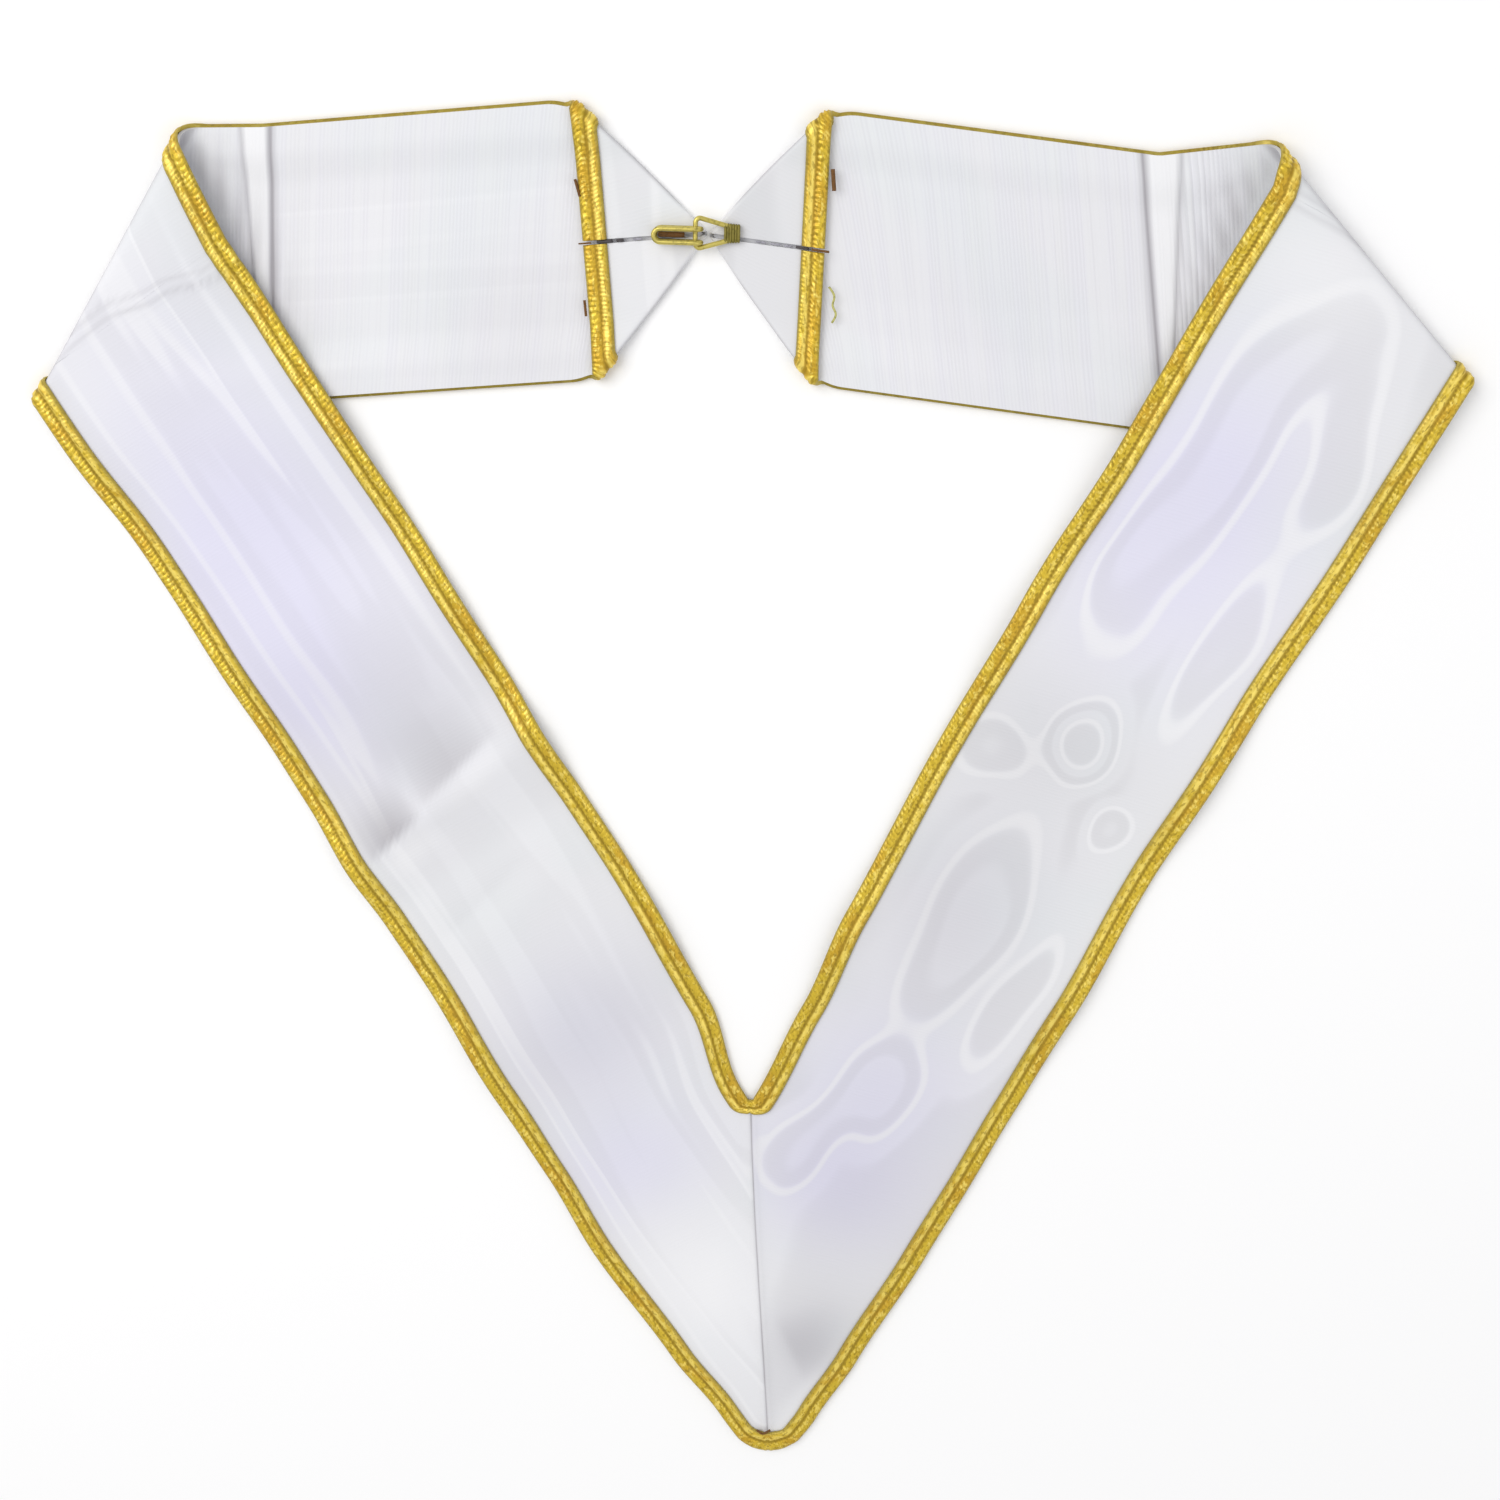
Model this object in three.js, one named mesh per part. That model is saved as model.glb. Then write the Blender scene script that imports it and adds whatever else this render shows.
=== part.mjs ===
// A regalia collar of white watered-silk ribbon with gold braid on both edges, laid out flat.
// Two fronts meet in a mitred point. At each shoulder the ribbon turns over on a soft fold, so the
// neck lies face down, and its folded ends are joined by a gold wire hook and eye.
// Millimetres, +Z up, the point of the V towards -Y.
import * as THREE from 'three';
import { mergeVertices } from 'three/addons/utils/BufferGeometryUtils.js';

// ribbon
const ribbonWidth = 101;      // over the braid on both edges
const frontLength = 586;      // from the point of the V to the shoulder seam, along the outer edge
const vHalfAngle = 28.15;     // degrees, from the seam of the V to each front
const clothWall = 1.2;
const seamGap = 0.3;          // between two pieces of cloth sewn edge to edge
const layerGap = 0.3;         // between cloth and what lies on it
const tipRadius = 16;         // rounding of the point of the V at its outer edge
const tipEase = 0.8;          // how much less that rounding is for each millimetre in from the edge
const notchRadius = 1.2;      // rounding of the V's inner corner at its edge
const notchFade = 22;         // over which that rounding dies out in the cloth
const pointReach = 30;        // from the seam of the V, where the rows are closer for that rounding

// braid
const braidWidth = 9.2;
const braidHeight = 1.8;
const braidOverhang = 1.2;    // past the edge of the cloth

// shoulder fold and the lie of the layers
const outerFoldGap = 2.2;     // inside the fold at the outer corner
const innerFoldGap = 8.8;     // inside the fold at the neck corner
const sinkLength = 55;        // over which a raised layer comes down
const sagLength = 14;         // over which cloth comes down beside the braid under it
const foldReach = 30;         // over which the fold holds the band up

// neck ends
const hemGap = 0.7;           // inside the folded corners
const slitWidth = 0.6;        // between the two cut edges on the centre line
const tipGap = 1.6;           // between the two points, under the clasp
const closingShare = -0.084;  // where the points meet, off the seam of the V, as a share of the width
const tuckHeight = 1.0;
const tuckEase = 0.8;         // over which a tuck steps down to the cloth
const skewReach = 40;         // before the folded end, where it begins to lean
const endRadius = 20;         // rounding of the neck's corners, where they are folded over
const endReach = 26;          // over which that rounding dies out in the cloth

// clasp
const wireRadius = 0.9;
const wireGap = 0.3;
const hookLength = 19;
const hookWidth = 6.6;
const eyeLength = 17;
const eyeWidth = 12.4;
const eyeNose = 2.1;          // radius of the sewn end, on the wire's centre line
const eyeCorner = 1.6;        // radius beside the straight bar, on the wire's centre line
const eyeAside = 1.0;         // from the middle of the hook, towards the upper edge

// Each side's own seams, folds and tucks. Lengths are shares: seam of frontLength, the rest of
// ribbonWidth. Angles are in degrees. fold is measured from the seam, tuck from the fold. pointDraw
// is the share by which the folded point is drawn in, and endSkew leans the neck's end.
const sides = {
  left: {
    sign: -1, seam: 0.9864, seamTurn: 8.0, seamSkew: 8.4, fold: 0.159, foldAngle: 55.5,
    tuck: 0.641, tuckTurn: 3.9, tuckWide: 0.10, tuckNarrow: 0.03, pointDraw: 0.09, endSkew: 0.015,
  },
  right: {
    sign: 1, seam: 1.0127, seamTurn: 16.0, seamSkew: 9.6, fold: -0.087, foldAngle: 53.5,
    tuck: 0.817, tuckTurn: 13.4, tuckWide: 0.13, tuckNarrow: 0.02, pointDraw: 0.13, endSkew: 0.08,
  },
};

// How far each edge of a front strays from its straight line, away from the ribbon's own middle being
// positive. at is a share of frontLength from the point of the V, the rest are shares of ribbonWidth.
const edgeSway = [
  { at: 0.00, leftOuter: -0.058, leftInner: -0.018, rightOuter: -0.058, rightInner: -0.018 },
  { at: 0.05, leftOuter: -0.055, leftInner: -0.021, rightOuter: -0.055, rightInner: -0.021 },
  { at: 0.09, leftOuter: -0.046, leftInner: -0.022, rightOuter: -0.031, rightInner: -0.022 },
  { at: 0.15, leftOuter: -0.012, leftInner: -0.025, rightOuter: -0.005, rightInner: -0.025 },
  { at: 0.25, leftOuter: 0.014, leftInner: -0.030, rightOuter: 0.022, rightInner: -0.030 },
  { at: 0.32, leftOuter: -0.010, leftInner: -0.053, rightOuter: 0.027, rightInner: -0.053 },
  { at: 0.39, leftOuter: -0.010, leftInner: 0.024, rightOuter: 0.021, rightInner: -0.031 },
  { at: 0.47, leftOuter: -0.022, leftInner: 0.040, rightOuter: 0.011, rightInner: 0.014 },
  { at: 0.60, leftOuter: -0.008, leftInner: 0.021, rightOuter: -0.020, rightInner: 0.034 },
  { at: 0.72, leftOuter: -0.018, leftInner: 0.017, rightOuter: -0.009, rightInner: 0.027 },
  { at: 0.84, leftOuter: -0.017, leftInner: 0.009, rightOuter: 0.014, rightInner: 0.002 },
  { at: 0.93, leftOuter: 0.000, leftInner: 0.000, rightOuter: 0.000, rightInner: 0.000 },
];

// The seam of the V bends a little: how far it lies aside at a height up from the point, both shares
// of ribbonWidth
const seamBend = [
  { up: 0, aside: 0.018 },
  { up: 1.88, aside: -0.020 },
  { up: 3.37, aside: 0 },
];

// Soft rises where a front stands off the table. at, spread and slant are shares of frontLength
// (slant is how much later the rise comes at the inner edge), rise is a share of ribbonWidth.
const rises = [
  { side: 'left', at: 0.44, spread: 0.070, slant: 0.03, rise: 0.022 },
  { side: 'left', at: 0.605, spread: 0.050, slant: 0.02, rise: 0.036 },
  { side: 'left', at: 0.74, spread: 0.065, slant: -0.03, rise: 0.020 },
  { side: 'right', at: 0.47, spread: 0.080, slant: -0.04, rise: 0.024 },
  { side: 'right', at: 0.68, spread: 0.075, slant: 0.04, rise: 0.030 },
];

// Cross-section of the braid, from its outer to its inner edge: a wide plaited ridge, a groove and a
// narrow ridge. across is a share of braidWidth and height one of braidHeight.
const braidProfile = [
  { across: 0.00, height: 0.35 },
  { across: 0.30, height: 1.00 },
  { across: 0.62, height: 0.50 },
  { across: 0.82, height: 0.85 },
  { across: 1.00, height: 0.30 },
];

const pointSteps = 4;
const frontSteps = 12;
const sinkSteps = 8;
const rollSteps = 6;
const bandSteps = 3;
const neckSteps = 3;
const roundSteps = 2;
const hemSteps = 4;
const sagSteps = 4;
const rowGap = 1.2;           // least distance from a row of cloth to one where the seam rounds the fold
const wireSides = 5;
const wireSteps = 36;

const radians = Math.PI / 180;
const clamp = THREE.MathUtils.clamp;
const smooth = (x) => THREE.MathUtils.smoothstep(x, 0, 1);
const plane = (x, y) => new THREE.Vector2(x, y);
const turned = (v, degrees) => v.clone().rotateAround(plane(0, 0), degrees * radians);

// Heights that follow from what lies on what
const clothRest = clothWall / 2;
const bandRaise = braidHeight + layerGap;
const overBand = clothRest + bandRaise + clothWall + tuckHeight + layerGap;
const hemRadius = (clothWall + hemGap) / 2;
const outerRadius = (clothWall + outerFoldGap) / 2;
const innerRadius = (clothWall + innerFoldGap) / 2;
const half = ribbonWidth / 2;
const endHalfTurn = 22.5;     // degrees, half of what the neck's edge turns by at a folded corner

// A side's frames, worked out on the right-hand side: the left is its mirror image.
// front runs up the strip and inward across it; beyond the seam both turn by seamTurn.
function sideFrame(name) {
  const side = sides[name];
  const front = turned(plane(0, 1), -vHalfAngle);
  const inward = turned(front, 90);
  const seam = side.seam * frontLength;
  const beyond = turned(front, side.seamTurn);
  const across = turned(inward, side.seamTurn);
  const seamCentre = front.clone().multiplyScalar(seam).addScaledVector(inward, half);
  const foldCentre = seamCentre.clone().addScaledVector(beyond, side.fold * ribbonWidth);
  const foldLine = turned(beyond, side.foldAngle);
  const foldOut = turned(foldLine, -90);
  const mirror = (v) => foldLine.clone().multiplyScalar(v.dot(foldLine))
    .addScaledVector(foldOut, -v.dot(foldOut));
  const band = mirror(beyond);
  const bandAcross = mirror(across);
  const frame = {
    ...side, name, front, inward, seam, beyond, across, seamCentre, foldCentre, foldLine, foldOut,
    band, bandAcross,
    neck: turned(band, -side.tuckTurn),
    neckAcross: turned(bandAcross, -side.tuckTurn),
    seamSlope: Math.tan((side.seamTurn / 2 - side.seamSkew) * radians),
    tuckSlope: Math.tan(side.tuckTurn / 2 * radians),
    tuckAt: side.tuck * ribbonWidth,
    overlap: ribbonWidth * Math.sin(side.foldAngle * radians),
  };
  frame.tuckCentre = foldCentre.clone().addScaledVector(band, frame.tuckAt);
  const lower = bandPlace(frame, 0);
  const upper = bandPlace(frame, ribbonWidth);
  frame.neckMiddle = (lower.across + upper.across) / 2;
  frame.neckHalf = (upper.across - lower.across) / 2;
  // the point ends beside the plane where both points meet
  const start = frame.tuckCentre.x + frame.neckAcross.x * frame.neckMiddle;
  const end = closingShare * ribbonWidth * side.sign + tipGap / 2;
  frame.tip = (end - start) / frame.neck.x;
  frame.base = frame.tip - frame.neckHalf * (1 - side.pointDraw);
  return frame;
}

// along and q are the place on the unfolded ribbon: the length run from the point of the V, and the
// distance from the outer edge of the braid.
const seamAlong = (frame, q) => frame.seam - (q - half) * frame.seamSlope;
const foldRadius = (q) => THREE.MathUtils.lerp(outerRadius, innerRadius, smooth(q / ribbonWidth));

// The ribbon before it is folded over, in plan
function unfolded(frame, along, q) {
  const seam = seamAlong(frame, q);
  const upTo = Math.min(along, seam);
  const stray = q + swayOf(frame, along, q);
  return frame.front.clone().multiplyScalar(upTo)
    .addScaledVector(frame.inward, stray)
    .addScaledVector(frame.beyond, along - upTo);
}

// The row of a table that ends a stretch, and how far along it a place is
function inTable(table, key, place) {
  const value = clamp(place, table[0][key], table.at(-1)[key]);
  let row = 1;
  while (row < table.length - 1 && value > table[row][key]) row += 1;
  const [before, after] = [table[row - 1], table[row]];
  const part = smooth((value - before[key]) / (after[key] - before[key]));
  return (name) => THREE.MathUtils.lerp(before[name], after[name], part);
}

function swayOf(frame, along, q) {
  const value = inTable(edgeSway, 'at', along / frontLength);
  const outer = value(frame.name + 'Outer') * ribbonWidth;
  const inner = value(frame.name + 'Inner') * ribbonWidth;
  return THREE.MathUtils.lerp(-outer, inner, q / ribbonWidth);
}

// Where a line of the unfolded ribbon crosses a given distance from the fold
function alongAtFold(frame, q, distance) {
  const seam = seamAlong(frame, q);
  const atSeam = unfolded(frame, seam, q).sub(frame.foldCentre).dot(frame.foldOut);
  const direction = distance < atSeam ? frame.front : frame.beyond;
  return seam + (distance - atSeam) / direction.dot(frame.foldOut);
}

// The band once folded over: its place along and across its own frame, at the start of a line
function bandPlace(frame, q) {
  const seam = seamAlong(frame, q);
  const plan = foldedPlan(frame, unfolded(frame, seam, q), q).sub(frame.foldCentre);
  const across = plan.dot(frame.bandAcross);
  const tuck = seam + frame.tuckAt - across * frame.tuckSlope - plan.dot(frame.band);
  return { across, tuck };
}

function foldedPlan(frame, plan, q) {
  const offset = plan.clone().sub(frame.foldCentre);
  const out = -offset.dot(frame.foldOut) + (Math.PI - 2) * foldRadius(q);
  return frame.foldCentre.clone()
    .addScaledVector(frame.foldLine, offset.dot(frame.foldLine))
    .addScaledVector(frame.foldOut, out);
}

// A layer turning over on a line: how far out of the line it lies, and its angle round the roll
function turnOver(distance, radius, lift) {
  const angle = clamp((distance + radius) / radius, 0, Math.PI) - Math.PI / 2;
  let out = -radius + (radius + lift) * Math.cos(angle);
  if (distance < -radius) out = distance;
  if (distance > (Math.PI - 1) * radius) out = (Math.PI - 2) * radius - distance;
  return { out, angle };
}

// Height of the band's cloth, which lies on its braid at the edges and sags between
function bandHeight(q, fromFold) {
  const edge = Math.min(q, ribbonWidth - q);
  const onBraid = 1 - smooth((edge - braidWidth) / sagLength);
  const byFold = smooth(1 - fromFold / foldReach);
  return clothRest + bandRaise * Math.max(onBraid, byFold);
}

function riseAt(frame, along, q) {
  let height = 0;
  for (const row of rises) {
    if (row.side !== frame.name) continue;
    const centre = (row.at + row.slant * (q / ribbonWidth - 0.5)) * frontLength;
    const away = (along - centre) / (row.spread * frontLength);
    height += row.rise * ribbonWidth * smooth(1 - Math.abs(away));
  }
  return height;
}

// Both corners of the V are rounded, so that the braid keeps its width there: what is near them is
// drawn up by what the rounding cuts off
function cornerRadius(q) {
  const inner = ribbonWidth - q;
  const notch = (notchRadius + braidWidth) * smooth(1 - (inner - braidWidth) / notchFade);
  return Math.max(tipRadius - tipEase * q, 0) + Math.min(notchRadius + inner, notch);
}

function roundedCorner(frame, plan, q) {
  const radius = cornerRadius(q);
  const slope = frame.front.y / frame.front.x;
  const x = Math.abs(plan.x);
  if (x >= radius * frame.front.y) return;
  plan.y += radius / frame.front.x - Math.sqrt(radius * radius - x * x) - x * slope;
}

// Carries a place on the unfolded ribbon, lift above the middle of its cloth, to where it lies
function lay(frame, along, q, lift) {
  const plan = unfolded(frame, along, q);
  const offset = plan.clone().sub(frame.foldCentre);
  const toFold = offset.dot(frame.foldOut);
  const radius = foldRadius(q);
  const { out, angle } = turnOver(toFold, radius, lift);
  const line = bandPlace(frame, q);
  if (along > line.tuck) return layNeck(frame, along - line.tuck, line.across, q, lift);
  const bottom = toFold > (Math.PI - 1) * radius;
  const height = bandHeight(q, bottom ? -out - radius : 0);
  if (toFold < -radius) {
    const inBand = offset.dot(frame.bandAcross) + half;
    const overEdge = smooth(1 + inBand / sinkLength);
    const rest = THREE.MathUtils.lerp(clothRest, overBand, overEdge) + riseAt(frame, along, q);
    const raised = smooth(1 + (toFold + radius) / sinkLength);
    const z = THREE.MathUtils.lerp(rest, height + 2 * radius, raised) + lift;
    roundedCorner(frame, plan, q);
    return placed(frame, plan, z);
  }
  plan.copy(frame.foldCentre)
    .addScaledVector(frame.foldLine, offset.dot(frame.foldLine))
    .addScaledVector(frame.foldOut, out);
  const z = bottom ? height - lift : height + radius - (radius + lift) * Math.sin(angle);
  return placed(frame, plan, z);
}

// The neck beyond the tuck, with its corners folded over onto the centre line
function layNeck(frame, run, across, q, lift) {
  const along = run + across * frame.tuckSlope;
  const upper = across > frame.neckMiddle ? 1 : -1;
  const inside = frame.neckHalf - upper * (across - frame.neckMiddle);
  const distance = (along - frame.base - inside) / Math.SQRT2;
  let x = along;
  let y = across;
  let z = bandHeight(q, foldReach) - lift;
  if (distance > -hemRadius) {
    const { out, angle } = turnOver(distance, hemRadius, lift);
    const line = (along - frame.base + inside) / Math.SQRT2;
    const fromEdge = (line - out) / Math.SQRT2;
    x = frame.base + (line + out) / Math.SQRT2;
    y = frame.neckMiddle + upper * (frame.neckHalf - fromEdge);
    z = bandHeight(fromEdge, foldReach) + hemRadius + (hemRadius + lift) * Math.sin(angle);
  }
  ({ x, y } = roundedEnd(frame, x, y, upper));
  const pastBase = Math.max(x - frame.base, 0);
  const drawn = frame.pointDraw * pastBase * pastBase / frame.neckHalf;
  const skew = frame.endSkew * (y - frame.neckMiddle) * smooth(1 + (x - frame.base) / skewReach);
  const plan = frame.tuckCentre.clone()
    .addScaledVector(frame.neck, x - drawn + skew)
    .addScaledVector(frame.neckAcross, y);
  return placed(frame, plan, z);
}

// The neck's corners are rounded: near the line that halves the corner, everything is drawn in by
// what the rounding cuts off
function roundedEnd(frame, x, y, upper) {
  const out = turned(plane(0, 1), -endHalfTurn);
  const run = turned(out, -90);
  const place = plane(x - frame.base, upper * (y - frame.neckMiddle) - frame.neckHalf);
  const aside = Math.abs(place.dot(run));
  if (aside >= endRadius * out.x) return { x, y };
  const edge = aside * out.x / out.y;
  const cutOff = endRadius / out.y - Math.sqrt(endRadius * endRadius - aside * aside) - edge;
  const drawn = cutOff * smooth(1 + (edge + place.dot(out)) / endReach);
  return { x: x - drawn * out.x, y: y - drawn * out.y * upper };
}

function placed(frame, plan, z) {
  const aside = inTable(seamBend, 'up', plan.y / ribbonWidth)('aside') * ribbonWidth;
  return new THREE.Vector3(plan.x * frame.sign + aside, plan.y, z);
}

// The length at which a line starts beside the seam of the V
function startAlong(frame, q, gap) {
  let along = q * frame.front.y / frame.front.x;
  for (let turn = 0; turn < 4; turn += 1) {
    along = ((q + swayOf(frame, along, q)) * frame.front.y + gap) / frame.front.x;
  }
  return along;
}

const spread = (from, to, steps) => Array.from({ length: steps },
  (_, index) => THREE.MathUtils.lerp(from, to, index / steps));

// Places along a line of the ribbon, from the seam of the V to the cut end of the neck: close by the
// seam, few on the straight front, closer where it rises onto the band, and in step with every fold
function stationsFrom(frame, q, gap) {
  const radius = foldRadius(q);
  const rollStart = alongAtFold(frame, q, -radius);
  const sinkStart = alongAtFold(frame, q, -radius - frame.overlap) - sinkLength;
  const start = startAlong(frame, q, gap);
  return [
    ...spread(start, start + pointReach, pointSteps),
    ...spread(start + pointReach, sinkStart, frontSteps),
    ...spread(sinkStart, rollStart, sinkSteps),
    ...spread(0, 1, rollSteps).map((part) => alongAtFold(frame, q, (Math.PI * part - 1) * radius)),
    ...neckStations(frame, q),
  ];
}

function neckStations(frame, q) {
  const line = bandPlace(frame, q);
  const rolled = alongAtFold(frame, q, (Math.PI - 1) * foldRadius(q));
  const tuckStart = line.tuck - tuckWidth(frame, q);
  const inside = frame.neckHalf - Math.abs(line.across - frame.neckMiddle);
  const toBase = line.tuck - line.across * frame.tuckSlope + frame.base;
  const hemAt = (distance) => toBase + inside + distance * Math.SQRT2;
  const cut = toBase + frame.neckHalf - slitWidth / 2;
  const hemEnd = hemAt((Math.PI - 1) * hemRadius);
  const beforeHem = hemAt(-hemRadius) - endRadius * Math.tan(endHalfTurn * radians);
  const flap = spread(braidWidth, braidWidth + sagLength, sagSteps).concat(braidWidth + sagLength);
  return [
    ...spread(rolled, tuckStart - tuckEase, bandSteps),
    tuckStart - tuckEase, tuckStart, line.tuck, line.tuck + tuckEase,
    ...spread(line.tuck + tuckEase, beforeHem, neckSteps).slice(1),
    ...spread(beforeHem, hemAt(-hemRadius), roundSteps),
    ...spread(0, 1, hemSteps).map((part) => hemAt((Math.PI * part - 1) * hemRadius)),
    hemEnd,
    ...flap.map((run) => Math.max(hemEnd, toBase + run)),
    cut,
  ].map((along) => Math.min(along, cut));
}

const tuckWidth = (frame, q) => THREE.MathUtils.lerp(
  frame.tuckNarrow, frame.tuckWide, q / ribbonWidth) * ribbonWidth;

// A closed strip over rows across the ribbon, each with its own places along it. bottom and top give
// the strip's two faces above the middle of the cloth.
function stripGeometry(rows, columns, point) {
  const box = new THREE.BoxGeometry(1, 1, 1, columns - 1, rows - 1, 1);
  const place = box.attributes.position;
  for (let index = 0; index < place.count; index += 1) {
    const column = Math.round((place.getX(index) + 0.5) * (columns - 1));
    const row = Math.round((place.getY(index) + 0.5) * (rows - 1));
    const at = point(column, row, place.getZ(index) > 0);
    place.setXYZ(index, at.x, at.y, at.z);
  }
  return closedSurface(box);
}

// Shared corners joined, collapsed triangles left out, and every face pointing out
function closedSurface(source) {
  source.deleteAttribute('normal');
  source.deleteAttribute('uv');
  const joined = mergeVertices(source, 1e-3);
  const place = joined.attributes.position;
  const corner = (index) => new THREE.Vector3().fromBufferAttribute(place, index);
  const kept = [];
  let volume = 0;
  for (let index = 0; index < joined.index.count; index += 3) {
    const [a, b, c] = [0, 1, 2].map((step) => joined.index.getX(index + step));
    if (a === b || b === c || c === a) continue;
    kept.push([a, b, c]);
    volume += corner(a).dot(corner(b).cross(corner(c))) / 6;
  }
  const faces = volume < 0 ? kept.map(([a, b, c]) => [a, c, b]) : kept;
  const geometry = new THREE.BufferGeometry();
  geometry.setAttribute('position', place);
  geometry.setIndex(faces.flat());
  geometry.computeVertexNormals();
  return geometry;
}

// Rows across the cloth: close together where it comes down beside the braid under it, and where the
// shoulder seam goes round the fold
function clothRows(frame, beside) {
  const side = [braidOverhang, braidWidth / 2,
    ...spread(braidWidth, braidWidth + sagLength, beside), braidWidth + sagLength];
  const middle = spread(braidWidth + sagLength, half, 2).slice(1);
  const crossing = spread(0, 1, rollSteps).concat(1).map((part) => seamCrossing(frame, part));
  const plain = [...side, ...middle, half, ...[...side, ...middle].map((q) => ribbonWidth - q)];
  const clear = plain.filter((q) => crossing.every((row) => Math.abs(row - q) > rowGap));
  return [...clear, ...crossing].sort((a, b) => a - b);
}

// The row whose seam lies a given part of the way round the fold
function seamCrossing(frame, part) {
  const toFold = (q) => unfolded(frame, seamAlong(frame, q), q).sub(frame.foldCentre)
    .dot(frame.foldOut);
  const slope = (toFold(ribbonWidth) - toFold(0)) / ribbonWidth;
  let q = half;
  for (let turn = 0; turn < 20; turn += 1) {
    q = ((Math.PI * part - 1) * foldRadius(clamp(q, 0, ribbonWidth)) - toFold(0)) / slope;
  }
  return clamp(q, braidOverhang, ribbonWidth - braidOverhang);
}

function clothPiece(frame, rows, stationsOf) {
  const lines = rows.map((q) => ({ q, stations: stationsOf(q) }));
  return stripGeometry(rows.length, lines[0].stations.length, (column, row, face) => {
    const { q, stations } = lines[row];
    const along = stations[column];
    const raised = onTuck(frame, along, q) ? tuckHeight : 0;
    return lay(frame, along, q, face ? clothWall / 2 : -clothWall / 2 - raised);
  });
}

function onTuck(frame, along, q) {
  const { tuck } = bandPlace(frame, q);
  const tolerance = tuckEase / 4;
  return along > tuck - tuckWidth(frame, q) - tolerance && along < tuck + tolerance;
}

function frontRibbon(frame) {
  const steps = pointSteps + frontSteps + sinkSteps + rollSteps + 1;
  return clothPiece(frame, clothRows(frame, 1), (q) => {
    const seam = seamAlong(frame, q) - seamGap / 2;
    const stations = stationsFrom(frame, q, seamGap / 2).slice(0, steps);
    return [...stations, seam].map((along) => Math.min(along, seam));
  });
}

function neckRibbon(frame) {
  return clothPiece(frame, clothRows(frame, sagSteps), (q) => {
    const seam = seamAlong(frame, q) + seamGap / 2;
    const stations = stationsFrom(frame, q, seamGap / 2).slice(pointSteps + frontSteps + sinkSteps / 2);
    return [seam, ...stations].map((along) => Math.max(along, seam));
  });
}

// One length of braid on the face side, from one end of the neck round the V to the other end
function edgeBraid(frames, inner) {
  const rows = braidProfile.map(({ across, height }) => ({
    q: inner ? ribbonWidth - across * braidWidth : across * braidWidth,
    top: clothWall / 2 + layerGap + height * braidHeight,
  }));
  const halves = frames.map((frame) => rows.map(({ q }) => stationsFrom(frame, q, 0)));
  const count = halves[0][0].length;
  return stripGeometry(rows.length, 2 * count - 1, (column, row, face) => {
    const step = column - (count - 1);
    const which = step < 0 ? 0 : 1;
    const { q, top } = rows[row];
    const bottom = clothWall / 2 + layerGap;
    return lay(frames[which], halves[which][row][Math.abs(step)], q, face ? top : bottom);
  });
}

// The height of the folded corners at the centre line, where the clasp lies
const flapTop = clothRest + 2 * hemRadius + clothWall / 2;
const lowWire = flapTop + layerGap + wireRadius;
const wirePitch = 2 * wireRadius + wireGap;

const wireTube = (points) => closedSurface(new THREE.TubeGeometry(
  new THREE.CatmullRomCurve3(points, true, 'centripetal'), wireSteps, wireRadius, wireSides, true));

// A long loop of wire doubled back over itself round the bar of the eye
function hookGeometry() {
  const bend = wirePitch;
  const reach = hookLength - wireRadius - bend - wireRadius + Math.PI * bend / 2;
  const side = hookWidth / 2 - wireRadius;
  const loop = new THREE.Path();
  loop.moveTo(-reach + side, -side);
  loop.lineTo(reach - side, -side);
  loop.absarc(reach - side, 0, side, -Math.PI / 2, Math.PI / 2);
  loop.lineTo(-reach + side, side);
  loop.absarc(-reach + side, 0, side, Math.PI / 2, 1.5 * Math.PI);
  const points = loop.getSpacedPoints(wireSteps).slice(0, -1).map((at) => {
    const angle = clamp(at.x / bend, -Math.PI / 2, Math.PI / 2);
    const straight = Math.max(Math.abs(at.x) - Math.PI * bend / 2, 0);
    return new THREE.Vector3(bend * Math.cos(angle) - straight, at.y,
      lowWire + wirePitch + bend * Math.sin(angle));
  });
  return wireTube(points);
}

// A loop of wire with a straight bar for the hook, narrowing to the end that is sewn on
function eyeGeometry() {
  const length = eyeLength - 2 * wireRadius;
  const side = eyeWidth / 2 - wireRadius;
  const nose = length - eyeNose;
  const spreadAngle = Math.asin((side - eyeNose) / Math.hypot(nose - eyeCorner, side));
  const lean = Math.PI / 2 - spreadAngle;
  const loop = new THREE.Path();
  loop.moveTo(0, -side + eyeCorner);
  loop.absarc(eyeCorner, -side + eyeCorner, eyeCorner, Math.PI, 1.5 * Math.PI + spreadAngle);
  loop.absarc(nose, 0, eyeNose, -lean, lean);
  loop.absarc(eyeCorner, side - eyeCorner, eyeCorner, Math.PI / 2 - spreadAngle, Math.PI);
  loop.lineTo(0, -side + eyeCorner);
  const points = loop.getSpacedPoints(wireSteps).slice(0, -1).map((at) => new THREE.Vector3(
    at.x, at.y + eyeAside, lowWire + wirePitch * (1 - at.x / length)));
  return wireTube(points);
}

const silk = () => new THREE.MeshStandardMaterial({ color: 0xf1f0f4, roughness: 0.45 });
const gold = () => new THREE.MeshStandardMaterial({ color: 0xd9aa25, roughness: 0.4, metalness: 0.7 });
const brass = () => new THREE.MeshStandardMaterial({ color: 0xe0b748, roughness: 0.25, metalness: 1 });

const collar = new THREE.Group();

function add(name, geometry, material) {
  const mesh = new THREE.Mesh(geometry, material);
  mesh.name = name;
  collar.add(mesh);
  return mesh;
}

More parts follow.
